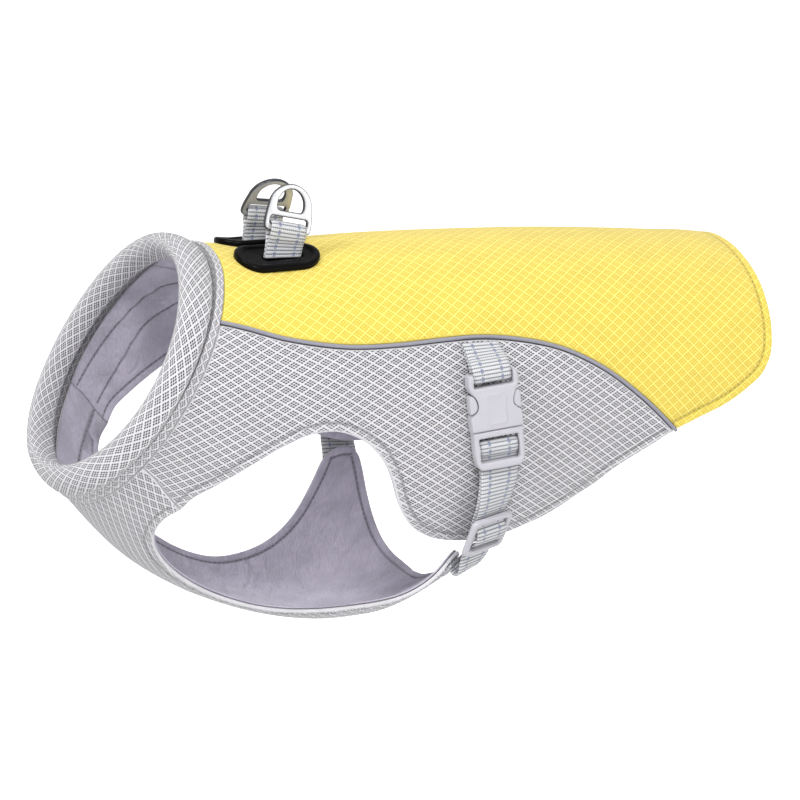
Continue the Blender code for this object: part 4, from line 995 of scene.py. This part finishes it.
def ribbon(name, node_name, middle, across, width, rib=0.14):
    """Ribbed webbing along middle points; across gives its width direction at each of them."""
    middle, across = np.array([tuple(p) for p in middle]), np.array([tuple(p) for p in across])
    lengths = np.concatenate([[0], np.cumsum(np.linalg.norm(np.diff(middle, axis=0), axis=1))])
    count = int(lengths[-1] / 0.42)
    at = np.linspace(0, lengths[-1], count + 1)
    line = curve(np.column_stack([lengths, middle]), at)
    side = curve(np.column_stack([lengths, across]), at)
    side /= np.linalg.norm(side, axis=1)[:, None]
    tangent = np.gradient(line, axis=0)
    normal = np.cross(tangent, side)
    normal /= np.linalg.norm(normal, axis=1)[:, None]
    wave = rib * (0.5 + 0.5 * np.cos(2 * pi * (at / RIB_PITCH - 0.5)))
    columns = np.linspace(-0.5, 0.5, 13)
    shape = np.concatenate([columns, columns[::-1]])
    face = np.concatenate([-np.ones(13), np.ones(13)])
    edge = np.clip((0.5 - np.abs(shape)) * 2 * 6, 0.35, 1)
    sections = []
    for i in range(len(at)):
        thick = face * edge * (WEBBING / 2 - rib + wave[i])
        sections.append(line[i] + side[i] * (shape * width)[:, None] + normal[i] * thick[:, None])
    girth = np.concatenate([shape * width, [shape[0] * width]])
    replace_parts(sweep(name, sections, silver_webbing, girth), node_name)


# Where each ring's bar lies, and how far the ring tips back and leans to the left, in degrees.
RINGS = {"left": (-1, 4.7, 11, -15), "right": (1, 4.0, 5, 27)}


def ring_axes(hand, share=1.0):
    """Middle of a ring's bar, its direction and the way up from it, turned by a share of its rake."""
    side, bar_x, rake, _ = RINGS[hand]
    rake = radians(rake) * share
    bar, rise = np.array((cos(rake), 0, -sin(rake))), np.array((sin(rake), 0, cos(rake)))
    return np.array((bar_x, side * RING_Y, RING_AXIS_Z)), bar, rise


for hand in RINGS:
    origin, bar, rise = ring_axes(hand)
    back, around = body_under(np.array([SLOT_X]), np.array([origin[1]]))
    foot, top = raised(body, back, around, 1.3)[0][2], RING_AXIS_Z
    legs, turns = ([], []), []
    leg_line = ((0.95, foot), (0.95, foot + 4.0), (1.5, foot + 7.5), (2.5, top - 4.5),
                (EYE_RADIUS, top - 1.5))  # half the gap between the legs, and the height
    for gap, z in leg_line:
        share = (z - foot) / (top - foot)
        for leg, way in zip(legs, (-1, 1)):
            leg.append(np.array((SLOT_X + (origin[0] - SLOT_X) * share, origin[1] + way * gap, z)))
        turns.append(ring_axes(hand, share)[1])
    over = [origin + (np.array((0, -cos(a), 0)) + rise * sin(a)) * EYE_RADIUS for a in np.linspace(0, pi, 9)]
    ribbon(f"ring_tape_{hand}", f"ring_loop_{hand}", legs[0] + over + legs[1][::-1],
           turns + [bar] * len(over) + turns[::-1], TAPE_WIDTH)

# ---- Lead rings ---------------------------------------------------------------------------------
# Stamped steel D-rings, chrome plated: the bar and slot that the webbing turns round below, and the
# D-shaped eye for the lead's hook above. Edges rounded by tumbling, coloured dark as a painted reflection of
# the dark studio.
chrome, tree, shader = finish("chrome_plated_steel", 0.3, 0.4)
# base colour dark on the rounded edges: a painted reflection of the dark studio, not a colour of the steel
steel = mixed(tree, mark_of(tree, "painted_dark_edge"), "CFD0D3", "3C3D41")
tree.links.new(steel, shader.inputs["Base Color"])
smear = node(tree, "ShaderNodeTexNoise", {"Scale": 120.0, "Detail": 4.0}).outputs[0]
smear = node(tree, "ShaderNodeMapRange", {0: smear, 3: 0.24, 4: 0.4}).outputs[0]
tree.links.new(smear, shader.inputs["Roughness"])


def plate(loops, levels, place):
    """Points and faces of a plate with holes through levels of (height, inset)."""
    def inset(loop, amount):
        run = np.roll(loop, -1, 0) - np.roll(loop, 1, 0)
        run /= np.linalg.norm(run, axis=1)[:, None]
        return loop + np.column_stack([-run[:, 1], run[:, 0]]) * amount

    loops = [np.asarray(loop, float) for loop in loops]
    points = []
    for height, amount in levels:
        flat = np.vstack([inset(loop, -amount if i else amount) for i, loop in enumerate(loops)])
        points += [tuple(place(u, v, height)) for u, v in flat]
    points, count, faces = np.array(points), sum(map(len, loops)), []
    for level in range(len(levels) - 1):
        start = level * count
        for number, loop in enumerate(loops):
            for i in range(len(loop)):
                a, b = start + i, start + (i + 1) % len(loop)
                quad = (a, b, b + count, a + count)
                faces.append(quad if number == 0 else quad[::-1])
            start += len(loop)
    cap, top = holed_face(loops[0], loops[1:]), (len(levels) - 1) * count
    faces += [face[::-1] for face in cap] + [tuple(i + top for i in face) for face in cap]
    return points, faces if outward(points, faces) else [face[::-1] for face in faces]


def box(place, low, high):
    """A block between two corners, each of them across, up and out."""
    loop = np.array([(low[0], low[1]), (high[0], low[1]), (high[0], high[1]), (low[0], high[1])])
    return plate([loop], [(low[2], 0), (high[2], 0)], place)


def carved(solid, cutters):
    """A solid with others taken out of it."""
    shapes = []
    for points, faces in [solid] + cutters:
        mesh = bpy.data.meshes.new("working")
        mesh.from_pydata((points * 0.001).tolist(), [], [tuple(map(int, face)) for face in faces])
        shapes.append(bpy.data.objects.new("working", mesh))
        scene.collection.objects.link(shapes[-1])
    for cutter in shapes[1:]:
        cut_out = shapes[0].modifiers.new("cut", "BOOLEAN")
        cut_out.operation, cut_out.solver, cut_out.object = "DIFFERENCE", "EXACT", cutter
    graph = bpy.context.evaluated_depsgraph_get()
    made = bpy.data.meshes.new_from_object(shapes[0].evaluated_get(graph))
    points, faces = np.array([v.co * 1000 for v in made.vertices]), [tuple(f.vertices) for f in made.polygons]
    for shape in shapes:
        bpy.data.objects.remove(shape)
    return points, faces


def hard_piece(name, node_name, solids, coat, body_name="vest", marks=()):
    """One piece from solids that belong together, its sharp edges kept sharp."""
    faces, start = [], 0
    for points, own in solids:
        faces += [tuple(i + start for i in face) for face in own]
        start += len(points)
    points = np.vstack([points for points, _ in solids])
    made = add_mesh(name, points, faces, coat, marks=marks, body_name=body_name)
    made.data.set_sharp_from_angle(angle=radians(35))
    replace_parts(made, node_name)


def rounded_levels(low, high, radius, steps=4):
    """Levels of a plate whose front and back edges are rounded."""
    turn = [radians(90 * i / steps) for i in range(steps + 1)]
    back = [(low + radius * (1 - sin(a)), radius * (1 - cos(a))) for a in reversed(turn)]
    front = [(high - radius * (1 - sin(a)), radius * (1 - cos(a))) for a in turn]
    return back + front


def smooth_loop(points, count):
    """A closed loop of many points through a few."""
    points = np.asarray(points, float)
    around = np.vstack([points[-2:], points, points[:3]])
    lengths = np.concatenate([[0], np.cumsum(np.linalg.norm(np.diff(around, axis=0), axis=1))])
    start, end = lengths[2], lengths[2 + len(points)]
    at = start + (end - start) * np.arange(count) / count
    return curve(np.column_stack([lengths, around]), at)


def arched(half_width, base, height, low, high, count):
    """Part of an oval over a base line, from one degree to another."""
    turns = np.radians(np.linspace(low, high, count))
    return [(half_width * cos(a), base + height * sin(a)) for a in turns]


# right half of the ring's foot, from the middle of its bar outwards: across and up
RING_FOOT = ((0, -1.5), (6, -1.5), (10.8, -1.5), (12.2, -0.7), (12.7, 0.8), (12.8, 3.0), (12.5, 7.0))
# right half of the bar below the eye, from the middle outwards
EYE_FOOT = ((5.2, 8.8), (6.2, 9.0), (6.9, 9.6), (7.15, 10.6))
RING_HALF_THICK, RING_ROUNDING = 1.2, 0.75


def d_ring(hand):
    origin, bar, rise = ring_axes(hand)
    lean = radians(RINGS[hand][3])
    up = rise * cos(lean) - np.array((0, sin(lean), 0))
    out = -rise * sin(lean) - np.array((0, cos(lean), 0))

    def ring_place(u, v, height):
        return origin + bar * u + up * v + out * height

    outline = [*RING_FOOT, *arched(11.9, 10.2, 12.3, 5, 175, 25), *((-u, v) for u, v in RING_FOOT[:0:-1])]
    slot = rounded(20.2, 4.3, 1.4, 6, (0, 3.55))
    eye = [*EYE_FOOT, *arched(7.2, 11.6, 8.2, 0, 180, 28), *((-u, v) for u, v in EYE_FOOT[::-1])]
    levels = rounded_levels(-RING_HALF_THICK, RING_HALF_THICK, RING_ROUNDING)
    ring = plate([smooth_loop(outline, 120), slot, np.array(eye)], levels, ring_place)
    # share of each level's rounding, which gets the painted dark reflection in the chrome's colour
    painted_dark_edge = [np.clip(1.5 - inset / 0.5, 0, 1) for _, inset in levels]
    marks = {"painted_dark_edge": np.repeat(painted_dark_edge, len(ring[0]) // len(levels))}
    hard_piece(f"d_ring_{hand}", f"lead_ring_{hand}", [ring], chrome, f"ring_{hand}", marks)


for hand in RINGS:
    d_ring(hand)

# ---- Side buckles, sliders and straps -----------------------------------------------------------
# Side-release buckles of light grey acetal on both sides, with their webbing: an upper strap sewn
# in under the piping, and a lower strap round the buckle's pin and the slider to the belly arm.
# Distances from the midline are given as on the left. slack lists places that the webbing passes
# between slider and arm, as (across, up, out) from the slider's middle; it is sewn down on the arm
# between two degrees round.
STRAPS = {
    "left": dict(
        side=-1, back=162.4, around=75.5, lean=9.0, turn=7, seam_back=156,
        top=(99.4, 86.5, -115.0), foot=(98.2, 78.5, -137.2), slider_turn=19, sewn=(118.6, 116.6),
        slack=((-0.6, -15.5, -1.9), (-1.6, -20.5, -1.2), (-2.4, -25.4, -1.8), (-3.0, -27.3, -3.6),
               (-3.6, -26.8, -6.0)),
    ),
    "right": dict(
        side=1, back=153.0, around=75.5, lean=-4.0, turn=0, seam_back=154.5,
        top=(86.3, 84.0, -108.5), foot=(84.0, 80.5, -130.5), slider_turn=0, sewn=(117.2, 120.4),
        slack=((0.0, -15.2, -3.4), (0.1, -18.2, -5.6)),
    ),
}
# Places on a buckle are across, up and out from its middle. Its socket is above, its plug below.
BUCKLE_TOP, BUCKLE_BAR, BUCKLE_PIN, BUCKLE_LIFT = 23.8, 22.2, -13.7, 0.5
SOCKET_THICK, PLUG_THICK = 7.4, 7.0
OPENING = 10.5  # half width of the room for the webbing
# right half of the socket's outline, from its mouth up, and of the plug's, from its foot up
SOCKET_SIDE = (
    (13.4, -5.1), (13.6, -2), (13.6, 0), (13.5, 3), (13.3, 6), (12.7, 9.4), (11.6, 11.1), (10.9, 12.2),
    (11.0, 13.3), (11.9, 14.5), (12.7, 16), (13.2, 17.8), (13.2, 20), (13.0, 22), (12.7, 23.2),
    (11.9, BUCKLE_TOP),
)
PLUG_SIDE = (
    (0, -25.2), (9, -25), (10.6, -24.6), (11.9, -23.4), (12.7, -21), (13.1, -18), (13.2, -14),
    (13.15, -9), (13.0, -5.4),
)
# opening in the socket's side for one prong of the plug, to the right of the middle
PRONG_WINDOW = (
    (15.5, 2.4), (15.5, 5), (15.5, 8), (15.5, 11), (15.5, 13.8), (13.6, 14.0), (11.8, 13.9), (10.5, 13.0),
    (9.6, 11.2), (9.1, 9.0), (9.1, 7.2), (9.7, 5.8), (10.9, 4.6), (12.6, 3.5),
)
PRONG_PAD = ((13.7, 4.0), (13.9, 6), (13.9, 9), (13.8, 11.6), (13.2, 13.5)) + PRONG_WINDOW[6:13]
BADGE = np.array([(5.0, -2.4), (5.3, 13.4), (-5.3, 13.4), (-5.0, -2.4)])  # the raised face on the socket
BADGE_LEVELS = ((7.2, 0), (7.42, 0), (7.62, 0.25), (7.66, 0.75), (7.58, 1.0))  # height and inset

grey_plastic, tree, shader = finish("light_grey_moulded_acetal", 0.42, Specular_IOR_Level=0.45,
                                    Subsurface_Weight=0.05)
shader.inputs["Subsurface Radius"].default_value = (0.001, 0.001, 0.001)
shader.inputs["Base Color"].default_value = linear("B7B5BC")
fine = node(tree, "ShaderNodeTexNoise", {"Scale": 1500.0, "Detail": 2.0}).outputs[0]
bumped(tree, shader, 0.08, 0.0002, fine)


def one(surface, back, around, height=0.0):
    return Vector(raised(surface, [back], [around], height)[0])


def axes_of(down, across_hint, outward_hint):
    """Directions across, up and out for a piece of hardware that hangs down along the cloth."""
    rise = -down.normalized()
    wide = (across_hint - rise * across_hint.dot(rise)).normalized()
    out = wide.cross(rise)
    return wide, rise, out if out.dot(outward_hint) > 0 else -out


def buckle_place(strap):
    side, lean, turn = strap["side"], radians(strap["lean"]), radians(strap["turn"])
    found = slopes(body, [strap["back"]], [side * strap["around"]])
    point, by_back, by_round, normal = (Vector(value[0]) for value in found)
    down = by_round.normalized() * side * cos(lean) + by_back.normalized() * sin(lean)
    wide, rise, out = axes_of(down, Vector((1, 0, 0)), normal)
    base = point + out * (BUCKLE_LIFT + 14 * sin(turn))
    wide, out = wide * cos(turn) + out * sin(turn), out * cos(turn) - wide * sin(turn)
    return lambda u, v, height: base + wide * u + rise * v + out * height


def slider_place(strap):
    side, turn = strap["side"], radians(strap["slider_turn"])
    top, foot = (Vector((p[0], side * p[1], p[2])) for p in (strap["top"], strap["foot"]))
    across_hint = Vector((cos(turn), -side * sin(turn), 0))
    wide, rise, out = axes_of(foot - top, across_hint, Vector((0, side, 0)))
    middle = (top + foot) / 2
    return lambda u, v, height: middle + wide * u + rise * v + out * height


def bar_turn(place, across, depth, up, front, sign):
    """Webbing round a bar, from its front to its back; sign says whether it goes over or under."""
    turn = []
    for i in range(9):
        over, out = sin(pi * i / 8) ** 0.75, cos(pi * i / 8)
        out = abs(out) ** 0.75 * (1 if out > 0 else -1)
        turn.append(place(0, up + sign * across * over, front + depth * out))
    return turn


def smoothed(points, step=3.0):
    """Evenly spaced places on the smooth curve through a few."""
    points = np.array([tuple(p) for p in points])
    lengths = np.concatenate([[0], np.cumsum(np.linalg.norm(np.diff(points, axis=0), axis=1))])
    at = np.linspace(0, lengths[-1], int(np.ceil(lengths[-1] / step)) + 1)
    return [Vector(p) for p in curve(np.column_stack([lengths, points]), at)]


def both_halves(right):
    return np.array([*right, *((-u, v) for u, v in reversed(right) if u)])


def prong_loop(shape, way):
    return smooth_loop([(way * u, v) for u, v in shape[::way]], 56)


def room(clip, low, high, back, front):
    """What is taken out of a buckle across its whole opening."""
    return box(clip, (-OPENING, low, back), (OPENING, high, front))


def buckle_socket(hand, clip):
    slot = rounded(20.8, 3.6, 0.8, 4, (0, BUCKLE_BAR - 3.4))
    low, high = BUCKLE_BAR - 2.1, BUCKLE_TOP + 1
    cutters = [room(clip, low, high, 4.6, 9), room(clip, low, high, -1, 1.9)]
    cutters += [plate([prong_loop(PRONG_WINDOW, way)], [(-1, 0), (9, 0)], clip) for way in (1, -1)]
    shell = plate([both_halves(SOCKET_SIDE), slot], rounded_levels(0, SOCKET_THICK, 1.1), clip)
    sides = zip(BADGE, np.roll(BADGE, -1, axis=0))
    badge = [start * (1 - t) + end * t for start, end in sides for t in (0.08, 0.5, 0.92)]
    raised_face = plate([smooth_loop(badge, 72)], BADGE_LEVELS, clip)
    hard_piece(f"buckle_socket_{hand}", f"buckle_female_{hand}", [carved(shell, cutters), raised_face],
               grey_plastic)


def buckle_plug(hand, clip):
    """The plug: a slot and a pin for the webbing, and its two prongs in the socket's windows."""
    slots = [rounded(20.8, 3.4, 0.6, 3, (0, -10.5)), rounded(20.8, 6.0, 1.2, 4, (0, -18.2))]
    cutters = [room(clip, -15.4, -12.0, 4.6, 9), room(clip, -15.4, -12.0, -1, 1.9),
               room(clip, -26, -21.0, -1, 3.5)]
    plug = plate([both_halves(PLUG_SIDE), *slots], rounded_levels(0, PLUG_THICK, 1.1), clip)
    levels = [(height, inset + 0.42) for height, inset in rounded_levels(0.6, PLUG_THICK, 0.7, 3)]
    prongs = [plate([prong_loop(PRONG_PAD, way)], levels, clip) for way in (1, -1)]
    hard_piece(f"buckle_plug_{hand}", f"buckle_male_{hand}", [carved(plug, cutters)] + prongs,
               grey_plastic)


def slider_frame(hand, slide):
    slots = [rounded(20.8, 6.9, 1.6, 5, (0, up)) for up in (5.15, -5.15)]
    frame = plate([rounded(27, 23, 3.6, 8), *slots], rounded_levels(-1.5, 1.5, 1.0), slide)
    hard_piece(f"slider_frame_{hand}", f"slider_{hand}", [frame], grey_plastic)


def blended(first, last, shares):
    """Directions that turn from the first to the last one."""
    return [first.lerp(last, float(ease(share))).normalized() for share in shares]


def upper_strap(hand, strap, clip):
    """From under the piping down, round the buckle's bar, and up again behind itself."""
    side, seam = strap["side"], strap["seam_back"]
    half_way = (seam + strap["back"] - BUCKLE_TOP * sin(radians(strap["lean"]))) / 2
    over, under = one(body, seam, side * 52.9, 2.7), one(body, seam, side * 52.9, 1.1)
    turn = bar_turn(clip, 2.8, 2.45, BUCKLE_BAR, 3.25, -1)
    front = [over, one(body, half_way, side * 55.5, 3.4), clip(0, BUCKLE_TOP + 2, 5.0), turn[0]]
    back = [turn[-1], clip(0, BUCKLE_TOP + 2, 0.6), one(body, half_way, side * 55.5, 1.4), under]
    middle = smoothed(front, 4.0)[:-1] + turn + smoothed(back, 4.0)[1:]
    at_seam = Vector(slopes(body, [seam], [side * 53])[1][0]).normalized()
    at_buckle = clip(1, 0, 0) - clip(0, 0, 0)
    across = blended(at_seam, at_buckle, [(over - p).length / 9 for p in middle])
    ribbon(f"upper_strap_{hand}", f"strap_upper_{hand}", middle, across, STRAP_WIDTH)


SLIDER_BAR = ((0, 2.65), (3.4, 2.3), (5.2, 0.4), (7.1, -1.8), (10.5, -2.55))  # half of the way over it


def lower_strap(hand, strap, clip, slide):
    """From the belly arm through the slider, round the buckle's pin, and back to the slider."""
    def on_arm(degrees_round, height, back=151):
        return one(belly, back, -degrees_round if strap["side"] < 0 else degrees_round - 360, height)

    over_bar = [slide(0, v, h) for v, h in reversed(SLIDER_BAR)]
    over_bar += [slide(0, -v, h) for v, h in SLIDER_BAR[1:]]
    turn = bar_turn(clip, 2.7, 2.45, BUCKLE_PIN, 3.25, 1)
    before_pin = [clip(0, v, h) for v, h in ((-16.2, 5.2), (-18.6, 3.3), (-21.0, 2.3), (-26, 2.1))]
    down = smoothed([turn[0], *before_pin, slide(0, 15, -2.4), *over_bar, slide(0, -12, -2.6)])
    slack = [slide(*spot) for spot in strap["slack"]]
    reach = smoothed([down[-1], *slack, *(on_arm(degrees_round, 1.5) for degrees_round in strap["sewn"])])
    behind_bar = [slide(0, v, h) for v, h in ((1, -2.7), (5, -3.7), (9, -4.2), (12, -4.2))]
    up = smoothed([*behind_bar, clip(0, -26, 0.5), clip(0, -20, 0.5), turn[-1]])
    upper = down[::-1] + turn[1:-1] + up[::-1]

    at_slider, at_buckle = (place(1, 0, 0) - place(0, 0, 0) for place in (slide, clip))
    at_arm = (on_arm(117, 0, 160) - on_arm(116, 0, 142)).normalized()
    last = len(reach) - 1
    across = blended(at_slider, at_arm, [i / last for i in range(last, 0, -1)])
    low, span = slide(0, 12, 0), clip(0, -24, 0) - slide(0, 12, 0)
    across += blended(at_slider, at_buckle, [(p - low).dot(span) / span.length_squared for p in upper])
    ribbon(f"lower_strap_{hand}", f"strap_lower_{hand}", reach[:0:-1] + upper, across, STRAP_WIDTH)


for hand, strap in STRAPS.items():
    clip, slide = buckle_place(strap), slider_place(strap)
    buckle_socket(hand, clip)
    buckle_plug(hand, clip)
    slider_frame(hand, slide)
    upper_strap(hand, strap, clip)
    lower_strap(hand, strap, clip, slide)

# ---- Thread -------------------------------------------------------------------------------------
# Lockstitches of polyester thread along every hem and tack line, three millimetres apart, in the
# colour of their cloth, but for the lining's thread, which is dark as painted shade in its sunk line.
STITCH_PITCH, STITCH_LONG, STITCH_THICK = 0.003, 0.0021, 0.0005  # metres
THREADS = (("yellow", "E2C85A", "yellow_mesh"), ("grey", "A9A7AD", "grey_mesh"),
           # the lining's thread is far darker than the knit: painted shade in the sunk sewing
           ("lilac", "68636F", "lining_knit"))


def stitch_maker():
    """Geometry Nodes: one small stitch every pitch along the lines that it is given."""
    tree = bpy.data.node_groups.new("stitches", "GeometryNodeTree")
    kinds = {"Geometry": "NodeSocketGeometry", "Pitch": "NodeSocketFloat", "Long": "NodeSocketFloat",
             "Thick": "NodeSocketFloat", "Thread": "NodeSocketMaterial"}
    sockets = {}
    for name, kind in kinds.items():
        sockets[name] = tree.interface.new_socket(name, in_out="INPUT", socket_type=kind).identifier
    tree.interface.new_socket("Geometry", in_out="OUTPUT", socket_type="NodeSocketGeometry")
    given = node(tree, "NodeGroupInput").outputs
    line = node(tree, "GeometryNodeMeshToCurve", {0: given["Geometry"]}).outputs[0]
    dots = {"Curve": line, "Length": given["Pitch"]}
    dots = node(tree, "GeometryNodeResampleCurve", dots, mode="LENGTH").outputs[0]
    run = node(tree, "GeometryNodeInputTangent").outputs[0]
    turn = node(tree, "FunctionNodeAlignRotationToVector", {"Vector": run}, axis="X").outputs[0]
    size = {0: given["Long"], 1: given["Thick"], 2: given["Thick"]}
    size = node(tree, "ShaderNodeCombineXYZ", size).outputs[0]
    ball = node(tree, "GeometryNodeMeshIcoSphere", {"Radius": 0.5, "Subdivisions": 2}).outputs[0]
    laid = {"Points": dots, "Instance": ball, "Rotation": turn, "Scale": size}
    laid = node(tree, "GeometryNodeInstanceOnPoints", laid).outputs[0]
    plain = node(tree, "GeometryNodeRealizeInstances", {0: laid}).outputs[0]
    done = {"Geometry": plain, "Material": given["Thread"]}
    node(tree, "NodeGroupOutput", {0: node(tree, "GeometryNodeSetMaterial", done).outputs[0]})
    return tree, sockets


def thread_finish(colour, code):
    """Twisted polyester sewing thread."""
    made, tree, shader = finish(f"{colour}_polyester_thread", 0.6, Sheen_Weight=0.2)
    twist = node(tree, "ShaderNodeTexNoise", {"Scale": 3000.0}).outputs[0]
    coloured(tree, shader, code, node(tree, "ShaderNodeMapRange", {0: twist, 3: 0.8, 4: 1.1}).outputs[0])
    return made


stitches, sockets = stitch_maker()
for colour, code, slot in THREADS:
    points, edges = [], []
    for run in stitched[colour]:
        edges += [(len(points) + i, len(points) + i + 1) for i in range(len(run) - 1)]
        points += (run * 0.001).tolist()
    lines = bpy.data.meshes.new("lines")
    lines.from_pydata(points, edges, [])
    holder = bpy.data.objects.new("lines", lines)
    scene.collection.objects.link(holder)
    sewing = holder.modifiers.new("stitches", "NODES")
    sewing.node_group = stitches
    given = {"Pitch": STITCH_PITCH, "Long": STITCH_LONG, "Thick": STITCH_THICK,
             "Thread": thread_finish(colour, code)}
    for name, value in given.items():
        sewing[sockets[name]] = value
    graph = bpy.context.evaluated_depsgraph_get()
    mesh = bpy.data.meshes.new_from_object(holder.evaluated_get(graph))
    bpy.data.objects.remove(holder)
    mesh.shade_smooth()
    sewn_thread = bpy.data.objects.new(f"thread_{colour}", mesh)
    scene.collection.objects.link(sewn_thread)
    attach(sewn_thread, "vest")
